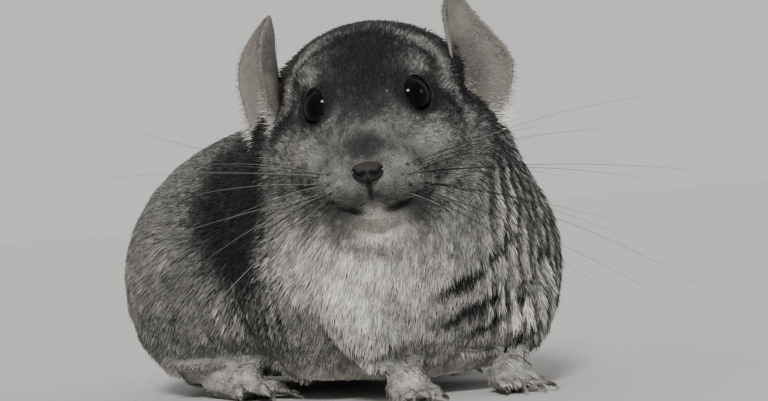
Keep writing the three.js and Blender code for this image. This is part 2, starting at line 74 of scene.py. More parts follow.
EYES = {side: node_middle(f"eye_{name}") for name, side in SIDES}
EYE_APART = 0.92
EYE_BACK = 0.09
EYE_DROP = 0.01
HEAD_FROM_SHOULDERS = np.array((-36.0, -36.0, 103.0))
HEAD = float(np.linalg.norm(EYES[1] - EYES[-1])) / EYE_APART
HEAD_LEFT = unit(EYES[1] - EYES[-1])
HEAD_BACK = unit(np.cross((0.0, 0.0, 1.0), HEAD_LEFT))
HEAD_UP = np.cross(HEAD_LEFT, HEAD_BACK)
HEAD_AXES = np.array((HEAD_LEFT, HEAD_BACK, HEAD_UP))
HEAD_MIDDLE = (EYES[1] + EYES[-1]) / 2 - HEAD * (EYE_BACK * HEAD_BACK - EYE_DROP * HEAD_UP)
GROUND = HEAD_MIDDLE - HEAD_FROM_SHOULDERS * MM
NOSE_TIP = (0.0, -0.82, -0.72)


def in_head(x, y, z):
    return HEAD_MIDDLE + HEAD * (np.array((x, y, z)) @ HEAD_AXES)


def head_shares(points):
    return (points - HEAD_MIDDLE) @ HEAD_AXES.T / HEAD


def in_body(x, y, z):
    return GROUND + np.array((x, y, z)) * MM


def body_mm(points):
    return (points - GROUND) / MM


# The chest is turned a little towards the way the head looks
CHEST_TURN = math.radians(-17)
CHEST_FORWARD = np.array((math.sin(CHEST_TURN), -math.cos(CHEST_TURN), 0.0))
CHEST_LEFT = np.array((math.cos(CHEST_TURN), math.sin(CHEST_TURN), 0.0))


def from_chest(forward, left, up):
    return GROUND + (forward * CHEST_FORWARD + left * CHEST_LEFT + up * np.array((0, 0, 1.0))) * MM


# Sizes of the body in millimetres. The tail's start and the hind feet are placed by shares of them
BODY_MM = np.array((57.0, 204.0, 105.0))
# The tail's middle line, from the rump round to the animal's left, in shares of its length
TAIL_LENGTH = 150
TAIL_STEPS = 40
TAIL_START = np.array((0.07, 0.64, 0.28)) * BODY_MM
TAIL_STATIONS = np.array((
    (0, 0, 0), (0.03, 0.13, -0.08), (0.13, 0.27, -0.115), (0.31, 0.35, -0.118),
    (0.49, 0.33, -0.115), (0.64, 0.22, -0.1), (0.73, 0.07, -0.085),
))


def smooth_line(stations, steps):
    """Points evenly spaced along a smooth curve through the stations."""
    ends = np.vstack([2 * stations[0] - stations[1], stations, 2 * stations[-1] - stations[-2]])
    found = []
    for a, b, c, d in zip(ends, ends[1:], ends[2:], ends[3:]):
        for t in np.linspace(0, 1, 12, endpoint=False):
            cubic = 2 * b + (c - a) * t + (2 * a - 5 * b + 4 * c - d) * t**2
            found.append((cubic + (3 * b - a - 3 * c + d) * t**3) / 2)
    found = np.array(found + [stations[-1]])
    run = np.concatenate([[0], np.cumsum(np.linalg.norm(np.diff(found, axis=0), axis=1))])
    even = np.linspace(0, run[-1], steps + 1)
    return np.stack([np.interp(even, run, column) for column in found.T], axis=1)


TAIL_LINE = GROUND + smooth_line(TAIL_START + TAIL_STATIONS * TAIL_LENGTH, TAIL_STEPS) * MM


def nearest_on_tail(points):
    """The distance from the tail's line, and the line's direction there."""
    gap = np.linalg.norm(points[:, None] - TAIL_LINE[None, ::2], axis=2)
    index = gap.argmin(axis=1) * 2
    ahead, behind = np.minimum(index + 2, TAIL_STEPS), np.maximum(index - 2, 0)
    return gap.min(axis=1), unit(TAIL_LINE[ahead] - TAIL_LINE[behind])


# Small sums

LATTICE = 24


def distance(points, place):
    return np.linalg.norm(points - place, axis=-1)


def smoothstep(x, low, high):
    t = np.clip((x - low) / (high - low), 0, 1)
    return t * t * (3 - 2 * t)


def spot(points, centre, size):
    """1 at the centre, falling softly to 0 past the edge of an ellipsoid."""
    reach = (((points - np.array(centre)) / np.array(size)) ** 2).sum(axis=1)
    return np.exp(-(reach**1.5))


def noise(points, scale, seed):
    """Smooth random values from -1 to 1, that change over about scale."""
    lattice = np.random.default_rng(seed).uniform(-1, 1, (LATTICE,) * 3)
    whole = np.floor(points / scale)
    part = points / scale - whole
    part = part * part * (3 - 2 * part)
    cell = whole.astype(int)
    total = np.zeros(len(points))
    for corner in np.ndindex(2, 2, 2):
        share = np.prod(np.where(corner, part, 1 - part), axis=1)
        total += share * lattice[tuple(((cell + corner) % LATTICE).T)]
    return total


# Markings and painted shade: how pale the coat is at each place, from 0, black, to 1, cream

HEAD_MARKS_AND_SHADE = (
    # centre, size, amount, and whether there is one on each side
    ((0.04, -0.04, 0.36), (0.4, 0.42, 0.32), -0.42, False),
    ((0.0, -0.3, 0.05), (0.34, 0.34, 0.3), -0.26, False),
    ((0.0, 0.42, 0.8), (0.8, 0.45, 0.4), -0.16, False),
    ((0.0, -0.77, -0.46), (0.24, 0.2, 0.15), -0.26, False),
    ((0.0, -0.5, -1.2), (0.16, 0.3, 0.1), 0.12, False),
    # Dark line in the cleft below the nose: painted shade
    ((0.0, -0.73, -0.95), (0.022, 0.2, 0.12), -0.45, False),
    ((0.56, 0.02, 0.23), (0.12, 0.2, 0.07), 0.28, True),
    # Dark crescents under the whisker pads: painted shade
    ((0.34, -0.52, -1.16), (0.22, 0.26, 0.055), -0.55, True),
    ((0.85, 0.3, -0.12), (0.3, 0.35, 0.14), -0.16, True),
    ((0.72, -0.15, -0.5), (0.34, 0.3, 0.16), 0.13, True),
    ((0.0, -0.35, -1.32), (0.42, 0.5, 0.19), 0.5, False),
    ((0.3, -0.62, -0.83), (0.26, 0.25, 0.22), 0.15, True),
)
BODY_MARKS_AND_SHADE = (
    ((-50, -44, 44), (33, 28, 34), 0.25),
    # Dark saddle over the back: partly the coat's own black, partly painted shade in the dip between
    # shoulder and back
    ((-44, 32, 82), (40, 25, 36), -0.74),
    ((-58, -2, 60), (14, 20, 26), 0.16),
    ((0, -56, 36), (26, 20, 30), 0.12),
    ((0, 70, 108), (26, 80, 26), -0.1),
    ((-63, -33, 50), (17, 19, 23), 0.2),
    ((14, -40, 66), (16, 18, 18), -0.1),
    ((-52, 88, 62), (20, 40, 30), 0.07),
)
# The black slashes across the left upper arm: both ends and half the width, in millimetres. They
# are measured across and up the chest, and hardly at all into it
SLASH_AXES = np.array((1.0, 0.12, 1.0))
SLASHES = (
    ((-25, -61, 38), (-8, -55, 46), 1.9),
    ((-24, -61, 28), (-2, -55, 37), 2.1),
    ((-14, -60, 23), (4, -54, 30), 1.5),
    ((-6, -59, 49), (6, -53, 56), 1.4),
    ((2, -58, 17), (14, -50, 24), 1.6),
    ((8, -54, 33), (16, -48, 39), 1.4),
)
# Dark and pale rings over the back of the head: place backwards, width and amount
HEAD_RINGS = ((0.3, 0.05, -0.2), (0.45, 0.08, 0.15), (0.78, 0.2, -0.4))
# How many whiskers each row of a pad has, from the top
WHISKER_ROWS = (4, 5, 5, 4)
# Distances in millimetres from ridge to ridge of the neck's folds, and between the painted highlight
# dashes on them
FOLD_SPACING = 5.0
HIGHLIGHT_DASH_SPACING = 2.6
SKULL_MIDDLE = (0, 0.42, -0.3)
MUZZLE_MIDDLE = (0, -0.42, -0.74)


def slash(points, start, end, width):
    """1 along a straight line on the chest's front, falling softly to 0 past its width."""
    run = np.subtract(end, start) * SLASH_AXES
    away = (points - start) * SLASH_AXES
    share = np.clip(away @ run / (run @ run), 0, 1)
    gap = np.linalg.norm(away - share[:, None] * run, axis=1)
    return np.exp(-((gap / (width * (1.15 - np.abs(share - 0.5)))) ** 2))


def whisker_roots():
    """Where the whiskers leave the left pad, with each one's share down and rearwards."""
    for row, count in enumerate(WHISKER_ROWS):
        for column in range(count):
            down, rearward = row / (len(WHISKER_ROWS) - 1), column / (count - 1)
            place = (0.4 + 0.16 * rearward, -0.72 + 0.3 * rearward, -0.74 - 0.3 * down)
            yield down, rearward, np.array(place)


def folds(points):
    """The ridges that the turned neck presses into the coat, from -1 to 1, and how strong."""
    away = np.linalg.norm((points - HEAD_MIDDLE)[:, :2], axis=1) / MM
    wander = 1.5 * noise(points, 18 * MM, 5) + 0.5 * noise(points, 6 * MM, 6)
    wave = np.sin(2 * math.pi * away / FOLD_SPACING + wander)
    wave = np.sign(wave) * np.abs(wave) ** 0.7
    height = body_mm(points)[:, 2]
    strength = smoothstep(away, 30, 42) * (1 - smoothstep(away, 62, 108))
    patchy = 0.75 + 0.5 * noise(points, 9 * MM, 11)
    return wave, strength * smoothstep(height, 14, 34) * patchy


def on_head(points):
    """1 on the head, 0 on the body."""
    shares = head_shares(points)
    skull = 1 - smoothstep(distance(shares, SKULL_MIDDLE), 1.02, 1.42)
    return np.maximum(skull, 1 - smoothstep(distance(shares, MUZZLE_MIDDLE), 0.68, 0.98))


def on_feet(points):
    """1 on the four feet, 0 elsewhere."""
    inside = np.zeros(len(points))
    for name, _ in SIDES:
        for foot in ("forefoot", "hindfoot"):
            low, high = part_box(f"{foot}_{name}")
            reach = np.maximum(np.array(low) - points, points - np.array(high)).max(axis=1)
            inside = np.maximum(inside, 1 - smoothstep(reach, 0, 1.5 * MM))
    return inside


def on_tail(points, near=8, far=12, start=118, end=134):
    """1 on the tail, 0 elsewhere, by millimetres from its line and behind the shoulders."""
    away, _ = nearest_on_tail(points)
    return (1 - smoothstep(away, near * MM, far * MM)) * smoothstep(body_mm(points)[:, 1], start, end)


def from_nose(points):
    """The distance from the tip of the nose, in half widths of the head."""
    return distance(head_shares(points), NOSE_TIP)


def head_tone(points):
    """How pale the head's coat is."""
    head = head_shares(points)
    tone = np.full(len(points), 0.41)
    for centre, size, amount, both in HEAD_MARKS_AND_SHADE:
        tone += amount * spot(head, centre, size)
        if both:
            tone += amount * spot(head, (-centre[0], *centre[1:]), size)
    behind = head[:, 1] + 0.08 * noise(points, 9 * MM, 3)
    for place, width, amount in HEAD_RINGS:
        ring = np.exp(-(((behind - place) / width) ** 2)) * smoothstep(head[:, 2], -0.55, -0.15)
        tone += amount * ring
    for _, _, root in whisker_roots():
        for _, side in SIDES:
            tone -= 0.3 * spot(head, root * (side, 1, 1), (0.022, 0.09, 0.019))
    for eye in EYES.values():
        tone -= 0.42 * (1 - smoothstep(distance(points, eye), 7.6 * MM, 10.6 * MM))
    return tone


def body_tone(points, normals, wave, strength):
    """How pale the coat is on the trunk and the legs, with the folds' wave and strength: painted
    highlight on their ridges, painted shade in their grooves.
    """
    body = body_mm(points)
    height = body[:, 2]
    tone = 0.45 + 0.05 * (1 - smoothstep(height, 50, 92))
    tone += 0.36 * (1 - smoothstep(height, 4, 24)) * smoothstep(-normals[:, 2], -0.3, 0.5)
    for centre, size, amount in BODY_MARKS_AND_SHADE:
        tone += amount * spot(body, centre, size)
    # Painted highlight and shade of the folds: paler ridges with pale dashes along them, darker grooves
    highlight_dashes = np.sin(2 * math.pi * height / HIGHLIGHT_DASH_SPACING + 3 * noise(points, 4 * MM, 10))
    tone += (0.3 * wave + 0.09 * highlight_dashes) * strength
    ragged = body + (0, 0, 1) * noise(points, 5 * MM, 9)[:, None]
    for start, end, width in SLASHES:
        tone -= 0.6 * slash(ragged, start, end, width)
    return tone


def markings_and_shade(points, normals):
    """How pale the coat is, and how much of each tuft's end is black, with painted highlight and shade
    among the markings.
    """
    face = on_head(points)
    wave, strength = folds(points)
    tone = face * head_tone(points) + (1 - face) * body_tone(points, normals, wave, strength)
    tone += on_feet(points) * (0.7 - tone)
    bristles = 0.26 + 0.22 * smoothstep(np.abs(noise(points, 5 * MM, 8)), 0.2, 0.6)
    tone += on_tail(points, 12, 16, 120, 140) * (bristles - tone)
    tone += 0.06 * noise(points, 7 * MM, 1) + 0.09 * noise(points, 2.0 * MM, 2)
    # Blacker tuft ends in the grooves of the folds are painted shade
    ticking_and_shade = np.clip(0.2 - 0.4 * (tone - 0.35) - 0.1 * wave * strength * (1 - face), 0.02, 0.4)
    return np.clip(tone, 0.03, 1), ticking_and_shade


# Meshes


def new_object(name, mesh, material):
    made = bpy.data.objects.new(name, mesh)
    bpy.context.scene.collection.objects.link(made)
    if material is not None:
        mesh.materials.append(material)
    return made


def mesh_from(name, points, faces, material=None):
    mesh = bpy.data.meshes.new(name)
    mesh.from_pydata([tuple(p) for p in points], [], [tuple(int(i) for i in f) for f in faces])
    mesh.polygons.foreach_set("use_smooth", [True] * len(mesh.polygons))
    mesh.update()
    return new_object(name, mesh, material)


def vertex_array(mesh, what="co"):
    source = mesh.vertices if what == "co" else mesh.vertex_normals
    found = np.empty(len(mesh.vertices) * 3, np.float32)
    source.foreach_get("co" if what == "co" else "vector", found)
    return found.reshape(-1, 3).astype(float)


def give_value(mesh, name, values):
    attribute = mesh.attributes.new(name, "FLOAT", "POINT")
    attribute.data.foreach_set("value", np.asarray(values, np.float32))


def baked(obj):
    """Puts the object's modifiers into its mesh, and gives that."""
    bpy.context.view_layer.update()
    made = bpy.data.meshes.new_from_object(obj.evaluated_get(bpy.context.evaluated_depsgraph_get()))
    obj.modifiers.clear()
    obj.data, old = made, obj.data
    bpy.data.meshes.remove(old)
    return made


def tube(line, radii, facets, axis=(0.13, 0.21, 0.97), closed=False):
    """Points and faces of a round tube, closed to a ring about the axis or with both ends closed."""
    line = np.asarray(line, float)
    run = np.roll(line, -1, axis=0) - np.roll(line, 1, axis=0) if closed else np.gradient(line, axis=0)
    tangent = unit(run)
    side = unit(np.cross(tangent, axis))
    up = np.cross(side, tangent)
    angle = np.linspace(0, 2 * math.pi, facets, endpoint=False)[None, :, None]
    ring = np.cos(angle) * side[:, None] + np.sin(angle) * up[:, None]
    count = len(line)
    points = (line[:, None] + np.broadcast_to(radii, count)[:, None, None] * ring).reshape(-1, 3)
    faces = []
    for i in range(count if closed else count - 1):
        here, ahead = i * facets, (i + 1) % count * facets
        for j in range(facets):
            k = (j + 1) % facets
            faces.append((here + j, here + k, ahead + k, ahead + j))
    if not closed:
        faces.append(tuple(range(facets))[::-1])
        faces.append(tuple(range((count - 1) * facets, count * facets)))
    return points, faces


def ball(rings, segments):
    """Points on a unit ball, poles on z, and its faces."""
    tilt = np.repeat(math.pi * np.arange(1, rings) / rings, segments)
    turn = np.tile(2 * math.pi * np.arange(segments) / segments, rings - 1)
    belts = np.stack([np.sin(tilt) * np.cos(turn), np.sin(tilt) * np.sin(turn), np.cos(tilt)], axis=1)
    points = np.vstack([(0, 0, 1), belts, (0, 0, -1)])
    last = len(points) - 1
    faces = []
    for j in range(segments):
        k = (j + 1) % segments
        faces.append((0, 1 + j, 1 + k))
        for i in range(1, last - segments, segments):
            faces.append((i + j, i + segments + j, i + segments + k, i + k))
        faces.append((last - segments + j, last, last - segments + k))
    return points, faces


def stacked(pieces):
    """Several (points, faces) as one."""
    points, faces, count = [], [], 0
    for these, their in pieces:
        points.append(these)
        faces += [tuple(i + count for i in face) for face in their]
        count += len(these)
    return np.vstack(points), faces


def hand_over(piece, slot, *nodes):
    """Hangs the piece on the root and hides the nodes it stands for. The slot is not used."""
    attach(piece, "root")
    if nodes:
        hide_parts(*nodes)


# Materials


class Finish:
    """A node material being made: the principled shader and short ways to add nodes."""

    def __init__(self, name, **sockets):
        self.material = bpy.data.materials.new(name)
        self.material.use_nodes = True
        self.tree = self.material.node_tree
        self.shader = self.tree.nodes["Principled BSDF"]
        for socket, value in sockets.items():
            self.shader.inputs[socket.replace("_", " ")].default_value = value

    def add(self, kind, **settings):
        node = self.tree.nodes.new(kind)
        for setting, value in settings.items():
            setattr(node, setting, value)
        return node

    def link(self, output, into):
        self.tree.links.new(output, into)

    def value(self, name):
        return self.add("ShaderNodeAttribute", attribute_name=name).outputs["Fac"]

    def noise(self, scale, detail=3.0, roughness=0.55):
        place = self.add("ShaderNodeTexCoord").outputs["Object"]
        node = self.add("ShaderNodeTexNoise")
        node.inputs["Scale"].default_value = scale
        node.inputs["Detail"].default_value = detail
        node.inputs["Roughness"].default_value = roughness
        self.link(place, node.inputs["Vector"])
        return node.outputs["Fac"]

    def stretch(self, source, low, high, to_low=0.0, to_high=1.0):
        node = self.add("ShaderNodeMapRange", interpolation_type="SMOOTHSTEP")
        self.link(source, node.inputs["Value"])
        node.inputs["From Min"].default_value = low
        node.inputs["From Max"].default_value = high
        node.inputs["To Min"].default_value = to_low
        node.inputs["To Max"].default_value = to_high
        return node.outputs["Result"]

    def total(self, first, second):
        node = self.add("ShaderNodeMath", operation="ADD")
        self.link(first, node.inputs[0])
        self.link(second, node.inputs[1])
        return node.outputs["Value"]

    def ramp(self, source, stops):
        node = self.add("ShaderNodeValToRGB")
        self.link(source, node.inputs["Fac"])
        elements = node.color_ramp.elements
        while len(elements) < len(stops):
            elements.new(0.5)
        for element, (place, colour) in zip(elements, stops):
            element.position = place
            element.color = (*colour[:3], 1)
        return node.outputs["Color"]

    def mix(self, share, first, second, blend="MIX"):
        node = self.add("ShaderNodeMix", data_type="RGBA", blend_type=blend)
        for place, source in ((0, share), (6, first), (7, second)):
            socket = node.inputs[place]
            if isinstance(source, bpy.types.NodeSocket):
                self.link(source, socket)
            elif isinstance(source, (int, float)):
                socket.default_value = source
            else:
                socket.default_value = (*source[:3], 1)
        return node.outputs[2]

    def bump(self, height, strength, distance):
        node = self.add("ShaderNodeBump")
        node.inputs["Strength"].default_value = strength
        node.inputs["Distance"].default_value = distance
        self.link(height, node.inputs["Height"])
        self.link(node.outputs["Normal"], self.shader.inputs["Normal"])

    def grey(self, source):
        node = self.add("ShaderNodeCombineColor")
        for socket in node.inputs:
            self.link(source, socket)
        return node.outputs["Color"]

    def colour(self, source):
        self.link(source, self.shader.inputs["Base Color"])
        return self


def coat_stops(colours):
    """The coat's colours from black to cream."""
    return [(0.0, colours.black), (0.3, colours.slate), (0.6, colours.grey), (1.0, colours.cream)]


def hair_finish(colours):
    """Banded hair: slate root, pale band, black end, by each tuft's own values."""
    made = bpy.data.materials.get("banded_hair")
    if made is not None:
        return made
    hair = Finish("banded_hair", Roughness=0.6, Specular_IOR_Level=0.12)
    band = hair.ramp(hair.value("tone"), coat_stops(colours))
    root = hair.mix(0.72, band, colours.undercoat)
    along = hair.value("along")
    lower = hair.mix(hair.stretch(along, 0.1, 0.5), root, band)
    towards_tip = hair.total(along, hair.value("ticking_and_shade"))
    tipped = hair.mix(hair.stretch(towards_tip, 0.92, 1.1), lower, colours.black)
    bright = hair.stretch(hair.noise(900.0, 2.0), 0.3, 0.7, 0.86, 1.12)
    shaded = hair.mix(1.0, tipped, hair.grey(bright), "MULTIPLY")
    return hair.colour(shaded).material


def skin_finish(colours):
    """The undercoat seen between the tufts, with the same markings as the coat."""
    skin = Finish("undercoat", Roughness=0.85, Specular_IOR_Level=0.15)
    band = skin.ramp(skin.value("tone"), coat_stops(colours))
    under = skin.mix(0.6, band, colours.undercoat)
    fine = skin.noise(1800.0, 4.0, 0.7)
    skin.bump(fine, 0.6, 0.0006)
    return skin.colour(skin.mix(skin.stretch(fine, 0.35, 0.65), under, band)).material


def eye_finish(colours):
    """Wet, almost black, with a dark brown rim to the iris."""
    eye = Finish("wet_eye", Roughness=0.05, IOR=1.165)
    ring = eye.stretch(eye.value("outwards"), 0.5, 0.95)
    return eye.colour(eye.mix(ring, colours.pupil, colours.iris)).material


def ear_finish(colours):
    """Thin grey-brown skin with a fine mottle, and painted shade deep in the cup."""
    ear = Finish("ear_leather", Roughness=0.6, Specular_IOR_Level=0.25)
    fine = ear.noise(260.0, 5.0, 0.6)
    skin = ear.mix(ear.stretch(fine, 0.3, 0.75), [0.8 * c for c in colours.ear], colours.ear)
    ear.bump(fine, 0.2, 0.0004)
    return ear.colour(ear.mix(ear.value("cup"), skin, colours.ear_cup_shade)).material


def nose_finish(colours):
    """Dark damp leather, with painted shade: near black in the nostrils and darker in the groove at its
    foot.
    """
    nose = Finish("nose_leather", Roughness=0.55, Specular_IOR_Level=0.1)
    grain = nose.noise(1300.0, 4.0, 0.65)
    nose.bump(grain, 0.4, 0.0003)
    return nose.colour(nose.mix(nose.value("nostril"), colours.nose, colours.black)).material


def lip_finish(colours):
    """Dull pink in the middle of the mouth, dark towards its corners."""
    lip = Finish("lip_skin", Roughness=0.5, Specular_IOR_Level=0.2)
    lip.bump(lip.noise(700.0, 4.0), 0.3, 0.0004)
    aside = lip.stretch(lip.value("aside"), 0.05, 0.3)
    return lip.colour(lip.mix(aside, colours.lip, colours.rim)).material


def bare_finish(name, base, deep, scale, roughness, bump):
    """Bare skin or horn, such as the rims of the lids and the claws."""
    skin = Finish(name, Roughness=roughness, Specular_IOR_Level=0.12)
    grain = skin.noise(scale, 5.0, 0.65)
    skin.bump(grain, bump, 0.0004)
    return skin.colour(skin.mix(skin.stretch(grain, 0.35, 0.7), deep, base)).material


# Settings that a user would change


def size_property(name, description, default):
    return bpy.props.FloatProperty(
        name=name, description=description, default=default, unit="LENGTH", min=0
    )


def colour_property(name, description, default):
    return bpy.props.FloatVectorProperty(
        name=name, description=description, default=default, subtype="COLOR", size=3, min=0, max=1
    )


class ChinchillaCoatSettings(bpy.types.PropertyGroup):
    skin_detail: size_property("Skin detail", "Size of the skin's faces", 0.95 * MM)
    body_hair: size_property("Body hair", "Visible length of the coat on the body", 6.8 * MM)
    face_hair: size_property("Face hair", "Length of the coat on the cheeks and crown", 5.5 * MM)
    foot_hair: size_property("Foot hair", "Length of the coat on the feet", 3.2 * MM)
    tail_hair: size_property("Tail hair", "Length of the tail's bristles", 24 * MM)
    ear_hair: size_property("Ear hair", "Length of the down on the ears", 1.7 * MM)
    body_width: size_property("Body tuft width", "Width of a tuft on the body", 0.4 * MM)
    face_width: size_property("Face tuft width", "Width of a tuft on the face", 0.34 * MM)
    whisker_length: size_property("Whisker length", "Length of the longest whiskers", 98 * MM)
    fullness: bpy.props.FloatProperty(
        name="Fullness", description="Share of the full number of tufts", default=1.0, min=0.05, max=1.0
    )


class ChinchillaColours(bpy.types.PropertyGroup):
    black: colour_property("Black", "The coat's black", (0.006, 0.006, 0.007))
    slate: colour_property("Slate", "The coat's dark grey", (0.038, 0.0375, 0.037))
    grey: colour_property("Grey", "The coat's light grey", (0.2, 0.196, 0.182))
    cream: colour_property("Cream", "Chin, chest and belly", (0.78, 0.757, 0.69))
    undercoat: colour_property("Undercoat", "The hair next to the skin", (0.03, 0.031, 0.035))
    ear: colour_property("Ear skin", "Thin skin of the ears", (0.155, 0.14, 0.125))
    # Painted shade deep in the ear's cup
    ear_cup_shade: colour_property("Ear shade", "Skin deep in the ear's cup", (0.05, 0.043, 0.04))
    nose: colour_property("Nose", "Nose pad", (0.026, 0.024, 0.023))
    lip: colour_property("Lip", "Middle of the lips", (0.095, 0.075, 0.07))
    rim: colour_property("Lid rim", "Bare rims of the lids", (0.006, 0.005, 0.005))
    pupil: colour_property("Pupil", "Middle of the eye", (0.001, 0.001, 0.001))
    iris: colour_property("Iris", "Edge of the iris", (0.003, 0.002, 0.002))
    claw: colour_property("Claws", "Claws", (0.2, 0.17, 0.15))
    floor: colour_property("Floor", "Floor and surroundings", (0.41, 0.406, 0.4))


# Skin

# How far the forms of flesh grow to meet before they are fused, and the tail's radius without hair
CLOSING = 0.38 * MM
TAIL_CORE = 5.6 * MM
PAD_PLACE = np.array((0.3, -0.49, -0.87))
PAD_SIZE = np.array((0.31, 0.36, 0.28))
# The coat's depth on the body, in millimetres
BODY_COAT = 2.6
FOLD_HEIGHT = 0.7 * MM
FLOOR_GAP = 0.2 * MM


def limbs(name):
    """The nodes of the legs and feet on one side."""
    return [f"{part}_{name}" for part in ("foreleg", "hindleg", "forefoot", "hindfoot")]


def flesh_forms():
    """The nodes of flesh that the skin is cast from, and the muzzle pads and tail as smooth forms."""
    forms = []
    for name in ("head", "neck", "torso", *limbs("left"), *limbs("right")):
        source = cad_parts[name].data
        faces = [tuple(p.vertices) for p in source.polygons]
        grown = vertex_array(source) + CLOSING * vertex_array(source, "normal")
        forms.append((grown, faces))
    globe, faces = ball(24, 32)
    for _, side in SIDES:
        pad = in_head(*PAD_PLACE * (side, 1, 1)) + globe * PAD_SIZE * HEAD @ HEAD_AXES
        forms.append((pad, faces))
    share = np.linspace(0, 1, len(TAIL_LINE))
    core = TAIL_CORE * (1 - 0.4 * share) * np.sqrt(np.maximum(0.06, 1 - share**10))
    forms.append(tube(TAIL_LINE, core, 20))
    return stacked(forms)


def coat_depth(points):
    """How far under the solids' outline the skin lies."""
    face = on_head(points)
    depth = face * (0.5 + 1.1 * smoothstep(from_nose(points), 0.4, 1.7)) + (1 - face) * BODY_COAT
    for eye in EYES.values():
        depth *= 0.35 + 0.65 * smoothstep(distance(points, eye), 8 * MM, 13 * MM)
    depth += on_feet(points) * (0.2 - depth)
    return depth * (1 - on_tail(points, 7, 10)) * MM + CLOSING


def make_skin(coat, colours):
    skin = mesh_from("skin", *flesh_forms())
    remesh = skin.modifiers.new("fuse", "REMESH")
    remesh.mode = "VOXEL"
    remesh.voxel_size = coat.skin_detail
    remesh.use_smooth_shade = True
    smooth = skin.modifiers.new("soften", "SMOOTH")
    smooth.factor = 0.5
    smooth.iterations = 4
    mesh = baked(skin)
    mesh.materials.append(skin_finish(colours))
    keep_largest(mesh)
    points = vertex_array(mesh)
    wave, strength = folds(points)
    rise = FOLD_HEIGHT * wave * strength * (1 - on_head(points))
    points -= vertex_array(mesh, "normal") * (coat_depth(points) - rise)[:, None]
    points[:, 2] = np.maximum(points[:, 2], FLOOR_GAP)
    mesh.vertices.foreach_set("co", points.astype(np.float32).ravel())
    mesh.update()
    tone, ticking_and_shade = markings_and_shade(points, vertex_array(mesh, "normal"))
    give_value(mesh, "tone", tone)
    give_value(mesh, "ticking_and_shade", ticking_and_shade)
    unwrap(skin)
    flesh = ["head", "neck", "torso", "tail_base", "tail_middle", "tail_tip"]
    for name, _ in SIDES:
        flesh += [f"whisker_pad_{name}", *limbs(name)]
    hand_over(skin, "grey_coat", *flesh)


def keep_largest(mesh):
    """Drops loose scraps, such as closed hollows between the nodes."""
    made = bmesh.new()
    made.from_mesh(mesh)
    unseen, largest = set(made.verts), set()
    while unseen:
        edge = [unseen.pop()]
        island = set(edge)
        while edge:
            vert = edge.pop()
            found = {link.other_vert(vert) for link in vert.link_edges} & unseen
            unseen -= found
            island |= found
            edge += found
        largest = max(largest, island, key=len)
    bmesh.ops.delete(made, geom=[v for v in made.verts if v not in largest], context="VERTS")
    made.to_mesh(mesh)
    made.free()
    mesh.update()


def unwrap(obj):
    bpy.context.view_layer.objects.active = obj
    bpy.ops.object.select_all(action="DESELECT")
    obj.select_set(True)
    obj.data.uv_layers.new(name="OFBake")
    bpy.ops.object.mode_set(mode="EDIT")
    bpy.ops.mesh.select_all(action="SELECT")
    bpy.ops.uv.smart_project(angle_limit=math.radians(75), island_margin=0.002, scale_to_bounds=False)
    bpy.ops.object.mode_set(mode="OBJECT")


# Coat


class SkinField:
    """The skin's triangles, for setting tufts on it."""

    def __init__(self, skin):
        mesh = skin.data
        mesh.calc_loop_triangles()
        count = len(mesh.loop_triangles)
        corners = np.empty(count * 3, np.int32)
        loops = np.empty(count * 3, np.int32)
        mesh.loop_triangles.foreach_get("vertices", corners)
        mesh.loop_triangles.foreach_get("loops", loops)
        self.corners = corners.reshape(-1, 3)
        uv = np.empty(len(mesh.loops) * 2, np.float32)
        mesh.uv_layers["OFBake"].data.foreach_get("uv", uv)
        self.uv = uv.reshape(-1, 2)[loops.reshape(-1, 3)]
        self.points = vertex_array(mesh)
        self.normals = vertex_array(mesh, "normal")
        a, b, c = (self.points[self.corners[:, i]] for i in range(3))
        self.area = np.linalg.norm(np.cross(b - a, c - a), axis=1) / 2
        self.middle = (a + b + c) / 3
        self.facing = unit(np.cross(b - a, c - a) + 1e-15)

    def scatter(self, weight, count, random):
        """Evenly strewn roots: places, normals and unwrap places."""
        run = np.cumsum(self.area * weight)
        at = (np.arange(count) + random.random(count)) / count * run[-1]
        face = np.minimum(np.searchsorted(run, at), len(run) - 1)
        a, b = random.random(count), random.random(count)
        flip = a + b > 1
        a, b = np.where(flip, 1 - a, a), np.where(flip, 1 - b, b)
        share = np.stack([1 - a - b, a, b], axis=1)[:, :, None]
        corners = self.corners[face]
        place = (self.points[corners] * share).sum(axis=1)
        normal = unit((self.normals[corners] * share).sum(axis=1))
        return place, normal, (self.uv[face] * share).sum(axis=1)


def lie_of_coat(points, normals):
    """The way the hair points at each place, along the skin."""
    face = on_head(points)[:, None]
    body = body_mm(points)
    down = 0.35 + 0.9 * (1 - smoothstep(body[:, 2], 25, 80))
    front = 1 - smoothstep(body[:, 1], -45, 10)
    trunk = np.stack([np.zeros(len(points)), 1 - 0.75 * front, -down - 0.4 * front], axis=1)
    off_nose = (head_shares(points) - NOSE_TIP) @ HEAD_AXES
    way = face * unit(off_nose) + (1 - face) * unit(trunk)
    feet = on_feet(points)[:, None]
    way = way * (1 - feet) + feet * np.array((-0.15, -1.0, -0.35))
    tail = on_tail(points)[:, None]
    way = way * (1 - tail) + tail * nearest_on_tail(points)[1]
    way += 0.22 * np.stack([noise(points, 11 * MM, seed) for seed in (21, 22, 23)], axis=1)
    way -= normals * (way * normals).sum(axis=1, keepdims=True)
    return unit(way + 1e-9)


# A tuft is a blade of four stations, with a pair of points at the first three and one at its tip
TUFT_STATIONS = (0.0, 0.38, 0.72, 1.0)
TUFT_WIDTHS = (0.75, 1.0, 0.62)
TUFT_POINTS = 7
TUFT_CORNERS = np.array((0, 1, 3, 2, 2, 3, 5, 4, 4, 5, 6))
TUFT_FACES = np.array((0, 4, 8))
TUFT_SWAY = 0.11
TUFT_DROOP = 0.42
BAKE_PATCH = 0.003


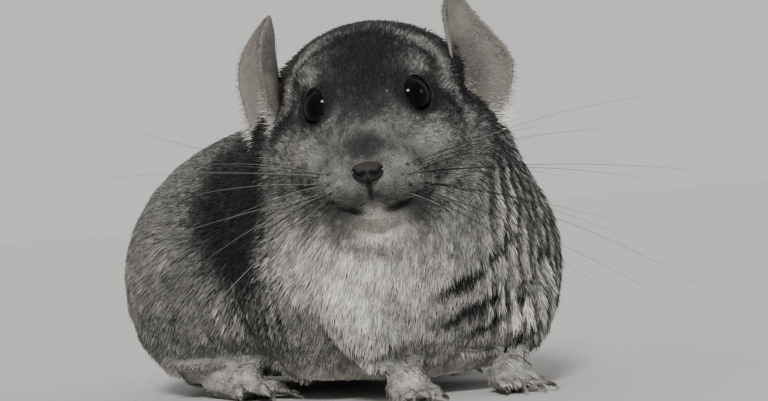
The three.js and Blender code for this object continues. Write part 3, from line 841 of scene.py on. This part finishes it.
def tuft_lines(root, normal, way, length, rise, random):
    """Four points along each tuft, which leaves the skin at its rise and bends back towards it."""
    across = np.cross(normal, way)
    sway = TUFT_SWAY * random.standard_normal(len(root))[:, None]
    lean = way * np.cos(rise)[:, None] + normal * np.sin(rise)[:, None]
    lines = []
    for s in TUFT_STATIONS:
        droop = TUFT_DROOP * s * s * np.sin(rise)[:, None]
        lines.append(root + length[:, None] * (s * lean - droop * normal + s * s * sway * across))
    return np.stack(lines, axis=1)


def tuft_mesh(name, lines, across, width, uv, values, material):
    """Flat tapered blades as one joined mesh, with each tuft's own values and bake patch."""
    count = len(lines)
    points = np.empty((count, TUFT_POINTS, 3))
    for i, share in enumerate(TUFT_WIDTHS):
        half = across * (width * share / 2)[:, None]
        points[:, 2 * i] = lines[:, i] - half
        points[:, 2 * i + 1] = lines[:, i] + half
    points[:, -1] = lines[:, -1]
    points[:, :, 2] = np.maximum(points[:, :, 2], FLOOR_GAP)
    base = np.arange(count)[:, None]
    corners = (base * TUFT_POINTS + TUFT_CORNERS).ravel().astype(np.int32)
    starts = (base * len(TUFT_CORNERS) + TUFT_FACES).ravel().astype(np.int32)
    mesh = bpy.data.meshes.new(name)
    mesh.vertices.add(points.size // 3)
    mesh.loops.add(len(corners))
    mesh.polygons.add(len(starts))
    mesh.vertices.foreach_set("co", points.astype(np.float32).ravel())
    mesh.loops.foreach_set("vertex_index", corners)
    mesh.polygons.foreach_set("loop_start", starts)
    mesh.polygons.foreach_set("use_smooth", np.ones(len(starts), bool))
    mesh.update(calc_edges=True)
    mesh.validate()
    along = np.array((*np.repeat(TUFT_STATIONS[:3], 2), 1.0))
    patch = np.stack([(-0.5, 0.5, -0.5, 0.5, -0.5, 0.5, 0.0), along - 0.5], axis=1)
    place = (uv[:, None] + BAKE_PATCH * patch).reshape(-1, 2)[corners]
    layer = mesh.uv_layers.new(name="OFBake")
    layer.data.foreach_set("uv", np.clip(place, 0, 1).astype(np.float32).ravel())
    give_value(mesh, "along", np.tile(along, count))
    for value_name, value in values.items():
        give_value(mesh, value_name, np.repeat(value, TUFT_POINTS))
    return new_object(name, mesh, material)


def point_tree(points):
    tree = kdtree.KDTree(len(points))
    for i, p in enumerate(points):
        tree.insert(Vector(p), i)
    tree.balance()
    return tree


# The most tufts of one piece, and how far hair keeps from the middles of eyes, nose and mouth
MOST_TUFTS = 39500
SHORTEST_HAIR = 1.0 * MM
FOOT_WIDTH = 0.3 * MM
TAIL_WIDTH = 0.42 * MM
EYE_CLEAR = 7.05 * MM
NOSE_CLEAR = 4.1 * MM
LIPS_CLEAR = 1.6 * MM


class Coat:
    """The coat's length, width and rise at each place, and what it keeps clear of."""

    def __init__(self, field, sizes, material):
        self.field = field
        self.sizes = sizes
        self.material = material
        self.clear = [(eye, EYE_CLEAR) for eye in EYES.values()]
        self.clear.append((in_head(0, -0.8, -0.78), NOSE_CLEAR))
        self.clear.append((in_head(*MOUTH[len(MOUTH) // 2]), LIPS_CLEAR))

    def blended(self, points, body, face, foot, tail):
        """One value on the body, the face, the feet and the tail, passing softly between them."""
        head = on_head(points)
        value = body * (1 - head) + face * head
        value += on_feet(points) * (foot - value)
        return value + on_tail(points) * (tail - value)

    def length(self, points):
        sizes = self.sizes
        body = sizes.body_hair * (0.6 + 0.4 * smoothstep(body_mm(points)[:, 2], 8, 30))
        growth = smoothstep(from_nose(points), 0.15, 1.9)
        face = SHORTEST_HAIR + (sizes.face_hair - SHORTEST_HAIR) * growth
        for eye in EYES.values():
            face *= 0.5 + 0.5 * smoothstep(distance(points, eye), 7.5 * MM, 13 * MM)
        return self.blended(points, body, face, sizes.foot_hair, sizes.tail_hair)

    def width(self, points):
        face = self.sizes.face_width * (0.6 + 0.6 * smoothstep(from_nose(points), 0.2, 1.7))
        return self.blended(points, self.sizes.body_width, face, FOOT_WIDTH, TAIL_WIDTH)

    def rise(self, points):
        """The angle at which tufts leave the skin: more on the ridges of the folds."""
        face = 0.26 + 0.14 * smoothstep(from_nose(points), 0.5, 1.7)
        wave, strength = folds(points)
        return self.blended(points, 0.35 + 0.24 * wave * strength, face, 0.26, 0.5)

    def lines(self, root, normal, random):
        count = len(root)
        long = self.length(root) * random.uniform(0.72, 1.2, count)
        lift = self.rise(root) * (1 + 0.18 * random.standard_normal(count))
        sunk = root - normal * np.minimum(0.4 * MM, 0.1 * long)[:, None]
        way = lie_of_coat(root, normal)
        return tuft_lines(sunk, normal, way, long, lift, random), way

    def grow(self, name, weight, density, seed, pull=0.2, clump=0.08, slot="grey_coat"):
        """Sets one piece's tufts, whose ends are pulled together in clumps."""
        random = np.random.default_rng(seed)
        asked = int((self.field.area * weight).sum() / MM**2 * density)
        count = int(min(asked, MOST_TUFTS) * self.sizes.fullness)
        root, normal, uv = self.field.scatter(weight, count, random)
        clumps = max(30, int(count * clump))
        clump_root, clump_normal, _ = self.field.scatter(weight, clumps, random)
        lines, way = self.lines(root, normal, random)
        clump_lines, _ = self.lines(clump_root, clump_normal, random)
        tree = point_tree(clump_root)
        nearest = np.array([tree.find(Vector(p))[1] for p in root])
        towards = (clump_lines[nearest, -1] - lines[:, -1]) * pull
        for i, s in enumerate(TUFT_STATIONS):
            lines[:, i] += towards * s * s
        roll = random.uniform(-0.6, 0.6, count)[:, None]
        across = unit(np.cross(normal, way)) * np.cos(roll) + normal * np.sin(roll)
        tone, ticking_and_shade = markings_and_shade(root, normal)
        tone += random.normal(0, 0.04, clumps)[nearest] + random.normal(0, 0.03, count)
        ticking_and_shade = np.clip(ticking_and_shade * random.uniform(0.4, 1.5, count), 0.0, 0.6)
        keep = np.ones(count, bool)
        for place, reach in self.clear:
            keep &= (distance(lines, place) > reach).all(axis=1)
        values = {"tone": np.clip(tone, 0.02, 1)[keep], "ticking_and_shade": ticking_and_shade[keep]}
        wide = self.width(root) * random.uniform(0.7, 1.25, count)
        piece = tuft_mesh(name, lines[keep], across[keep], wide[keep], uv[keep], values, self.material)
        hand_over(piece, slot)


# Where one piece of coat ends and the next begins, in half widths of the head from the nose and in
# millimetres behind and left of the shoulders
MUZZLE_END = 0.95
CHEEKS_END = 1.75
CHEST_END = -30
SHOULDER_END = 22
FLANK_END = 72
MIDDLE_LINE = -15
# Tufts to the square millimetre, and the share that grows on the unseen underside
BODY_DENSITY = 2.75
UNDERSIDE_SHARE = 0.4


def make_coat(field, sizes, colours):
    coat = Coat(field, sizes, hair_finish(colours))
    middle = field.middle
    x, y, _ = body_mm(middle).T
    nose = from_nose(middle)
    face = on_head(middle) > 0.5
    foot = (on_feet(middle) > 0.5) & ~face
    tail = on_tail(middle) > 0.5
    trunk = ~(face | foot | tail)
    seen = np.where(field.facing[:, 2] < -0.85, UNDERSIDE_SHARE, 1)
    coat.grow("coat_muzzle", face & (nose < MUZZLE_END), 11.5, 101, 0.25, 0.14)
    coat.grow("coat_cheeks", face & (nose >= MUZZLE_END) & (nose < CHEEKS_END), 8, 102, 0.3, 0.12)
    coat.grow("coat_crown", face & (nose >= CHEEKS_END), 7, 103, 0.35, 0.1)
    regions = {"coat_chest": y < CHEST_END}
    ends = (CHEST_END, SHOULDER_END, FLANK_END, math.inf)
    for part, start, end in zip(("shoulder", "flank", "rump"), ends, ends[1:]):
        for name, side in SIDES:
            regions[f"coat_{part}_{name}"] = (y >= start) & (y < end) & ((x > MIDDLE_LINE) == (side > 0))
    for seed, (name, region) in enumerate(regions.items(), 110):
        coat.grow(name, (trunk & region) * seen, BODY_DENSITY, seed)
    coat.grow("coat_feet", foot * seen, 3.6, 130, 0.25, 0.1, "pale_coat")
    coat.grow("coat_tail", tail, 3, 131, 0.3, 0.05, "dark_coat")


# Ears

# The left ear's middle in half widths of the head, and its lean. The right ear mirrors both, and
# each has its own turn in degrees, bend in millimetres and width at the tip
EAR_MIDDLE = (1.07, 1.1, 0.34)
EAR_LEAN = unit(np.array((0.1, 0.12, 0.99)))
EAR_SWIVEL = {"left": -46, "right": -24}
EAR_TIP_BEND = {"left": 6, "right": 4}
EAR_TIP_WIDTH = {"left": 0.6, "right": 1.3}
# How much narrower each ear is in front of its middle line
EAR_HIDDEN = {"left": 0.3, "right": 0.0}
EAR_SIZE = (36 * MM, 52 * MM)
EAR_CURL = (12 * MM, 17 * MM)
EAR_THICK = 0.42 * MM
EAR_RIM = 0.955
EAR_HAIRS = 10500
EAR_HAIR_WIDTH = 0.085 * MM


def ear_leaf(name, side, s, t):
    """Places on the ear's middle surface, with s across it and t from its foot to its tip."""
    facing = math.radians(EAR_SWIVEL[name])
    opening = np.array((math.cos(facing), math.sin(facing), 0))
    opening = unit(opening - EAR_LEAN * (opening @ EAR_LEAN))
    back = np.cross(EAR_LEAN, opening)
    narrowing = 1 + (EAR_TIP_WIDTH[name] - 1) * smoothstep(t, -0.1, 1)
    narrowing *= 1 - EAR_HIDDEN[name] * smoothstep(-s, -0.2, 0.8)
    radius = EAR_CURL[0] + (EAR_CURL[1] - EAR_CURL[0]) * (t + 1) / 2
    angle = s * EAR_SIZE[0] / 2 * narrowing / radius
    bend = (EAR_TIP_BEND[name] * smoothstep(t, 0, 1) + 3 * smoothstep(-t, 0.3, 1)) * MM
    out = radius * (1 - np.cos(angle)) + 3 * MM * t * t
    place = HEAD * np.array(EAR_MIDDLE) + np.outer(t * EAR_SIZE[1] / 2, EAR_LEAN)
    place += np.outer(out, opening) + np.outer(radius * np.sin(angle), back) - np.outer(bend, (1, 0, 0))
    return HEAD_MIDDLE + (place * (side, 1, 1)) @ HEAD_AXES


def ear_surface(name, side, s, t):
    """Places, normals out of the cup's back, and the way across, on the ear's middle surface."""
    step = 0.01
    across = ear_leaf(name, side, s + step, t) - ear_leaf(name, side, s - step, t)
    along = ear_leaf(name, side, s, t + step) - ear_leaf(name, side, s, t - step)
    return ear_leaf(name, side, s, t), unit(np.cross(across, along)) * side, unit(across)


def make_ears(sizes, colours):
    """Thin rolled leaves with a thicker rim, and the fine down on them."""
    # The globe's poles face the leaf's two sides, so that its equator is the rim
    globe, faces = ball(56, 96)
    s, t, z = globe.T
    out = np.hypot(s, t)
    thick = EAR_THICK * np.minimum(1, np.abs(z) / 0.22)
    thick += 0.2 * MM * np.exp(-(((out - EAR_RIM) / 0.04) ** 2))
    ribs = 0.35 * MM * np.sin(9 * s + 3 * t) * smoothstep(out, 0.95, 0.5) * smoothstep(-t, -0.5, 0.7)
    # Painted shade deep in the cup, darkest in its middle towards the foot
    cup = (1 - smoothstep(out, 0.2, 0.95)) * smoothstep(-t, -0.75, 0.35)
    material = ear_finish(colours)
    hair = hair_finish(colours)
    for name, side in SIDES:
        place, normal, _ = ear_surface(name, side, s, t)
        rough = 0.5 * MM * noise(place, 7 * MM, 41) * smoothstep(out, 1, 0.7)
        offset = np.sign(z) * thick * np.minimum(1, np.abs(z) / 0.12) + ribs + rough
        ear = mesh_from(f"ear_skin_{name}", place + normal * offset[:, None], faces, material)
        if side < 0:
            ear.data.flip_normals()
        # The cup's painted shade, for the ear's finish
        give_value(ear.data, "cup", np.clip(cup, 0, 1))
        hand_over(ear, "ear_skin", f"ear_{name}")
        make_ear_down(name, side, sizes, hair)


def make_ear_down(name, side, sizes, material):
    """Sparse pale hairs over the ear, longest on its lower rim and at its foot."""
    random = np.random.default_rng(60 + side)
    count = int(EAR_HAIRS * sizes.fullness)
    out = np.sqrt(random.uniform(0, 1, count))
    turn = random.uniform(0, 2 * math.pi, count)
    s, t = out * np.cos(turn), out * np.sin(turn)
    place, normal, across = ear_surface(name, side, s, t)
    outwards = normal * random.choice((-1.0, 1.0), count)[:, None]
    rim = smoothstep(out, 0.8, 1)
    low = smoothstep(-t, -0.3, 0.3)
    foot = smoothstep(-t, 0.35, 0.9)
    fringe = rim * smoothstep(-t, -0.1, 0.5)
    longer = 0.8 + 0.3 * rim + 0.4 * low + 2 * foot + 1.5 * fringe
    long = sizes.ear_hair * longer * random.uniform(0.6, 1.2, count)
    wander = np.array((0, 0, -0.15)) + 0.16 * random.standard_normal((count, 3))
    way = unit(across * np.where(s > -0.3, 1, -1)[:, None] + wander)
    rise = 0.12 + 0.2 * random.random(count)
    lines = tuft_lines(place + outwards * 0.4 * MM, outwards, way, long, rise, random)
    tone = 0.48 + 0.16 * low + 0.2 * foot + 0.2 * fringe + random.normal(0, 0.06, count)
    values = {"tone": np.clip(tone, 0.2, 1), "ticking_and_shade": np.zeros(count)}
    wide = EAR_HAIR_WIDTH * (1 + 0.3 * low + foot)
    uv = 0.5 + 0.45 * np.stack([s, t], axis=1)
    flat = unit(np.cross(normal, way))
    hand_over(tuft_mesh(f"ear_down_{name}", lines, flat, wide, uv, values, material), "ear_skin")


# Eyes, nose and mouth

CORNEA_RISE = 0.035
LID_RADIUS = 5.75 * MM
LID_FORWARD = 3.9 * MM
LID_THICK = 0.5 * MM


def make_eyes(colours):
    globe, faces = ball(36, 48)
    off_axis = np.arccos(np.clip(globe[:, 2], -1, 1))
    bulge = 1 + CORNEA_RISE * np.exp(-((off_axis / 0.75) ** 2))
    material = eye_finish(colours)
    rim = bare_finish("lid_rim", colours.rim, colours.rim, 900.0, 0.75, 0.4)
    for name, side in SIDES:
        low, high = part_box(f"eye_{name}")
        radius = (high - low)[2] / 2
        facing = unit(np.array((0.74 * side, -0.64, 0.14)) @ HEAD_AXES)
        left = unit(np.cross((0, 0, 1.0), facing))
        axes = np.array((left, np.cross(facing, left), facing))
        points = EYES[side] + radius * (globe * bulge[:, None]) @ axes
        eye = mesh_from(f"eyeball_{name}", points, faces, material)
        give_value(eye.data, "outwards", np.clip(off_axis / 0.9, 0, 1))
        hand_over(eye, "eye", f"eye_{name}")
        make_lid_rim(name, side, facing, rim)


def make_lid_rim(name, side, facing, material):
    """A rim round the eye's opening, flatter towards its rear corner."""
    outwards = np.array((side, 0.9, -0.75)) @ HEAD_AXES
    outwards = unit(outwards - facing * (outwards @ facing))
    upwards = np.cross(facing, outwards) * side
    turn = np.linspace(0, 2 * math.pi, 65)[:-1]
    x = LID_RADIUS * 1.06 * np.cos(turn)
    y = LID_RADIUS * np.sin(turn) * (0.98 - 0.2 * np.maximum(0, np.cos(turn)) ** 2)
    line = EYES[side] + facing * LID_FORWARD + x[:, None] * outwards + y[:, None] * upwards
    points, faces = tube(line, LID_THICK, 10, facing, closed=True)
    hand_over(mesh_from(f"lid_rim_{name}", points, faces, material), "ear_skin")


NOSE_MIDDLE = np.array((0.0, -0.785, -0.77))
NOSE_SIZE = np.array((0.18, 0.115, 0.115))
# The middle line of the left nostril, a comma, by its places across and up
NOSTRIL = ((0.045, -0.79), (0.08, -0.805), (0.115, -0.795), (0.145, -0.76))
NOSTRIL_WIDTH = 0.027
NOSTRIL_DEPTH = 0.045
GROOVE_WIDTH = 0.014


def make_nose(colours):
    globe, faces = ball(60, 84)
    boxy = np.sign(globe) * np.abs(globe) ** 0.88
    shares = NOSE_MIDDLE + boxy * NOSE_SIZE
    shares[:, 0] *= (0.94 + 0.1 * boxy[:, 2]) * (1 - 0.3 * smoothstep(-boxy[:, 2], 0.4, 1))
    shares[:, 1] += 0.035 * boxy[:, 2]
    forward = smoothstep(-globe[:, 1], 0, 0.4)
    # Painted shade of the nostrils, darkest in their hollows
    deep = np.zeros(len(shares))
    for _, side in SIDES:
        line = smooth_line(np.array(NOSTRIL) * (side, 1), 10)
        gap = np.linalg.norm(shares[:, None, ::2] - line[None], axis=2).min(axis=1)
        hollow = forward * np.exp(-((gap / NOSTRIL_WIDTH) ** 2))
        shares[:, 1] += NOSTRIL_DEPTH * hollow
        deep = np.maximum(deep, np.sqrt(hollow))
    low = smoothstep(-shares[:, 2], 0.76, 0.84)
    groove = forward * np.exp(-((shares[:, 0] / GROOVE_WIDTH) ** 2)) * low
    shares[:, 1] += 0.02 * groove
    points = HEAD_MIDDLE + HEAD * shares @ HEAD_AXES
    nose = mesh_from("nose_pad", points, faces, nose_finish(colours))
    # Painted shade: near black in the nostrils, darker in the groove
    give_value(nose.data, "nostril", np.maximum(deep, 0.8 * groove))
    hand_over(nose, "ear_skin")


# The line of the mouth from the right corner to the left, and each lip's rise and thickness
MOUTH = (
    (-0.34, -0.4, -1.13), (-0.18, -0.64, -1.09), (0, -0.7, -1.03),
    (0.18, -0.64, -1.09), (0.34, -0.4, -1.13),
)
LIPS = ((0.012, 0.018), (-0.024, 0.022))
LIP_BACK = 0.04
LIP_FACETS = 10


def make_mouth(colours):
    line = smooth_line(np.array(MOUTH), 40)
    share = np.linspace(-1, 1, len(line))
    pieces = []
    for rise, thick in LIPS:
        points = HEAD_MIDDLE + HEAD * (line + (0, LIP_BACK, rise)) @ HEAD_AXES
        pieces.append(tube(points, HEAD * thick * (1 - 0.7 * share**2), LIP_FACETS))
    lips = mesh_from("lips", *stacked(pieces), lip_finish(colours))
    give_value(lips.data, "aside", np.tile(np.repeat(np.abs(share), LIP_FACETS), len(LIPS)))
    hand_over(lips, "ear_skin")


# Whiskers and claws

WHISKER_RADIUS = 0.13 * MM
DARK_SHARE = 0.75


def make_whiskers(sizes, colours):
    random = np.random.default_rng(7)
    hair = Finish("whisker", Roughness=0.6, Specular_IOR_Level=0.1)
    whisker = hair.colour(hair.ramp(hair.value("tone"), coat_stops(colours))).material
    t = np.linspace(0, 1, 15)[:, None]
    for name, side in SIDES:
        pieces, tones = [], []
        for down, rearward, place in whisker_roots():
            leaving = math.radians(38 + 46 * rearward + 5 * random.standard_normal())
            drop = math.radians(-12 + 36 * down + 5 * random.standard_normal())
            ahead = -math.cos(leaving) * math.cos(drop)
            aim = np.array((side * math.sin(leaving) * math.cos(drop), ahead, -math.sin(drop)))
            root = place * (side, 1, 1) - 0.1 * unit(aim)
            length = sizes.whisker_length / HEAD * (0.55 + 0.42 * rearward) * random.uniform(0.8, 1.0)
            sag = np.array((0, 0.24, -0.07 - 0.12 * down + 0.05 * random.standard_normal())) * length
            points = HEAD_MIDDLE + HEAD * (root + aim * length * t + sag * t**2) @ HEAD_AXES
            points[:, 2] = np.maximum(points[:, 2], 0.6 * MM)
            pieces.append(tube(points, WHISKER_RADIUS * (1 - 0.8 * t[:, 0]), 5))
            tones.append(np.full(len(pieces[-1][0]), 0.03 if random.random() < DARK_SHARE else 0.5))
        made = mesh_from(f"whiskers_{name}", *stacked(pieces), whisker)
        give_value(made.data, "tone", np.concatenate(tones))
        hand_over(made, "pale_coat")


# Each kind of foot: how many toes show, and in millimetres the toes' length and radius and the
# ball's radius
FEET = {"forefoot": (4, 9.0, 2.5, 7.4), "hindfoot": (3, 14.0, 2.8, 8.0)}
CLAW_LENGTH = 3.6 * MM
CLAW_RADIUS = 0.75 * MM


def toe_tips(foot, side):
    """Where each toe of a foot ends, and which way it points."""
    toes, toe_length, toe_radius, ball_radius = FEET[foot]
    if foot == "forefoot":
        front = from_chest(55, side * 18.5, 5.6)
        turn = CHEST_TURN + math.radians(side * 8)
    else:
        front = in_body(*np.array((side * 0.76, 0.19, 0.06)) * BODY_MM)
        turn = math.radians(side * 10)
    forward = np.array((math.sin(turn), -math.cos(turn), 0))
    across = np.array((math.cos(turn), math.sin(turn), 0))
    sunk = 3.2 * toe_radius
    for i in range(toes):
        share = i / (toes - 1) - 0.5
        out = unit(forward + 0.7 * share * across)
        spread = share * 2 * (ball_radius - toe_radius * 0.7)
        root = front + (across * spread * 0.6 - forward * sunk) * MM
        tip = root + out * (sunk + toe_length * (1 - 0.9 * share * share)) * MM
        tip[2] = (toe_radius - 0.3) * MM
        yield tip, out, toe_radius * MM


def make_claws(colours):
    horn = bare_finish("claw_horn", colours.claw, colours.nose, 500.0, 0.35, 0.15)
    t = np.linspace(0, 1, 9)[:, None]
    curve = (0, 0, 1.0) * (0.4 + 0.5 * t - 1.6 * t**2) * MM
    for foot in FEET:
        for name, side in SIDES:
            pieces = []
            for tip, out, radius in toe_tips(foot, side):
                line = tip + out * (radius * 0.2 + CLAW_LENGTH * t) + curve
                line[:, 2] = np.maximum(line[:, 2], 0.5 * MM)
                pieces.append(tube(line, CLAW_RADIUS * (1 - 0.8 * t[:, 0] ** 1.5), 10))
            hand_over(mesh_from(f"claws_{foot}_{name}", *stacked(pieces), horn), "ear_skin")


# Stage


# The photo's camera: its place in millimetres from the shoulders, its right and back, roll and lens
CAMERA_PLACE = (-463.6, -651.9, 69.0)
CAMERA_RIGHT = (0.819, -0.574, 0.0)
CAMERA_BACK = (-0.574, -0.819, 0.0)
CAMERA_ROLL = math.radians(4.8)
CAMERA_LENS = 103.7
# Each light's place in millimetres from the shoulders, spread in degrees, power and colour
LIGHTS = {
    "key": ((-520, -560, 620), 14, 4.0, (1, 0.98, 0.95)),
    "fill": ((600, -700, 420), 20, 0.5, (0.95, 0.97, 1)),
    "back": ((300, 700, 600), 30, 0.6, (1, 1, 1)),
}
SURROUNDINGS_POWER = 1.7
FLOOR_RADIUS = 12


def make_camera():
    data = bpy.data.cameras.new("camera")
    data.sensor_width = 36
    data.lens = CAMERA_LENS
    camera = bpy.data.objects.new("camera", data)
    bpy.context.scene.collection.objects.link(camera)
    right, up = np.array(CAMERA_RIGHT), np.array((0, 0, 1.0))
    across = right * math.cos(CAMERA_ROLL) - up * math.sin(CAMERA_ROLL)
    upward = right * math.sin(CAMERA_ROLL) + up * math.cos(CAMERA_ROLL)
    axes = np.stack([across, upward, np.array(CAMERA_BACK), in_body(*CAMERA_PLACE)], axis=1)
    camera.matrix_world = Matrix([*[list(row) for row in axes], [0, 0, 0, 1]])
    bpy.context.scene.camera = camera


def make_light(name, place, spread, power, colour):
    """A far, soft light that shines from the given place towards the animal."""
    data = bpy.data.lights.new(name, "SUN")
    data.angle = math.radians(spread)
    data.energy = power
    data.color = colour
    light = bpy.data.objects.new(name, data)
    bpy.context.scene.collection.objects.link(light)
    light.location = Vector(in_body(*place))
    target = Vector(in_body(-10, 0, 60))
    light.rotation_euler = (target - light.location).to_track_quat("-Z", "Y").to_euler()


def make_stage(colours):
    finish = Finish("pale_floor", Roughness=0.95, Specular_IOR_Level=0.05)
    soft = finish.noise(6.0, 2.0)
    darker = [0.98 * c for c in colours.floor]
    finish.colour(finish.mix(finish.stretch(soft, 0.2, 0.8), colours.floor, darker))
    turn = np.linspace(0, 2 * math.pi, 65)[:-1]
    ring = FLOOR_RADIUS * np.stack([np.cos(turn), np.sin(turn), np.zeros(64)], axis=1)
    floor = mesh_from("floor", ring, [tuple(range(64))], finish.material)
    world = bpy.data.worlds.new("surroundings")
    bpy.context.scene.world = world
    world.use_nodes = True
    background = world.node_tree.nodes["Background"]
    background.inputs["Color"].default_value = (*colours.floor, 1)
    background.inputs["Strength"].default_value = SURROUNDINGS_POWER
    for name, light in LIGHTS.items():
        make_light(name, *light)
    make_camera()


# Add-on


def settings():
    scene = bpy.context.scene
    return scene.chinchilla_coat, scene.chinchilla_colours


def skin_field():
    skin = bpy.data.objects.get("skin")
    if skin is None:
        raise RuntimeError("Make the skin first")
    return SkinField(skin)


class CHINCHILLA_OT_stage(bpy.types.Operator):
    """Lay the pale floor, hang the soft lights and set the camera"""

    bl_idname = "chinchilla.stage"
    bl_label = "Stage"

    def execute(self, context):
        make_stage(settings()[1])
        return {"FINISHED"}


class CHINCHILLA_OT_skin(bpy.types.Operator):
    """Cast one skin from the solids' flesh"""

    bl_idname = "chinchilla.skin"
    bl_label = "Skin"

    def execute(self, context):
        make_skin(*settings())
        return {"FINISHED"}


class CHINCHILLA_OT_eyes(bpy.types.Operator):
    """Set the wet eyes and the rims of their lids"""

    bl_idname = "chinchilla.eyes"
    bl_label = "Eyes"

    def execute(self, context):
        make_eyes(settings()[1])
        return {"FINISHED"}


class CHINCHILLA_OT_muzzle(bpy.types.Operator):
    """Shape the nose pad with its nostrils, and the lips"""

    bl_idname = "chinchilla.muzzle"
    bl_label = "Nose and mouth"

    def execute(self, context):
        make_nose(settings()[1])
        make_mouth(settings()[1])
        return {"FINISHED"}


class CHINCHILLA_OT_ears(bpy.types.Operator):
    """Shape the two thin ears and the down on them"""

    bl_idname = "chinchilla.ears"
    bl_label = "Ears"

    def execute(self, context):
        make_ears(*settings())
        return {"FINISHED"}


class CHINCHILLA_OT_whiskers(bpy.types.Operator):
    """Fan the whiskers out from the muzzle pads"""

    bl_idname = "chinchilla.whiskers"
    bl_label = "Whiskers"

    def execute(self, context):
        make_whiskers(*settings())
        return {"FINISHED"}


class CHINCHILLA_OT_claws(bpy.types.Operator):
    """Put a claw on each toe"""

    bl_idname = "chinchilla.claws"
    bl_label = "Claws"

    def execute(self, context):
        make_claws(settings()[1])
        return {"FINISHED"}


class CHINCHILLA_OT_coat(bpy.types.Operator):
    """Grow the banded coat over the skin"""

    bl_idname = "chinchilla.coat"
    bl_label = "Coat"

    def execute(self, context):
        make_coat(skin_field(), *settings())
        return {"FINISHED"}


OPERATORS = (
    CHINCHILLA_OT_stage,
    CHINCHILLA_OT_skin,
    CHINCHILLA_OT_eyes,
    CHINCHILLA_OT_ears,
    CHINCHILLA_OT_muzzle,
    CHINCHILLA_OT_whiskers,
    CHINCHILLA_OT_claws,
    CHINCHILLA_OT_coat,
)


class CHINCHILLA_PT_panel(bpy.types.Panel):
    """Lists the pieces in the order they are made, and their settings"""

    bl_idname = "CHINCHILLA_PT_panel"
    bl_label = "Chinchilla"
    bl_space_type = "VIEW_3D"
    bl_region_type = "UI"
    bl_category = "Chinchilla"

    def draw(self, context):
        for operator in OPERATORS:
            self.layout.operator(operator.bl_idname)
        for group in settings():
            box = self.layout.box()
            for name in group.__annotations__:
                box.prop(group, name)


CLASSES = (ChinchillaCoatSettings, ChinchillaColours, *OPERATORS, CHINCHILLA_PT_panel)


def register():
    for each in CLASSES:
        bpy.utils.register_class(each)
    bpy.types.Scene.chinchilla_coat = bpy.props.PointerProperty(type=ChinchillaCoatSettings)
    bpy.types.Scene.chinchilla_colours = bpy.props.PointerProperty(type=ChinchillaColours)


def unregister():
    del bpy.types.Scene.chinchilla_colours
    del bpy.types.Scene.chinchilla_coat
    for each in reversed(CLASSES):
        bpy.utils.unregister_class(each)


def main():
    register()
    for operator in OPERATORS:
        getattr(bpy.ops.chinchilla, operator.bl_idname.split(".")[1])()


if __name__ == "__main__":
    main()
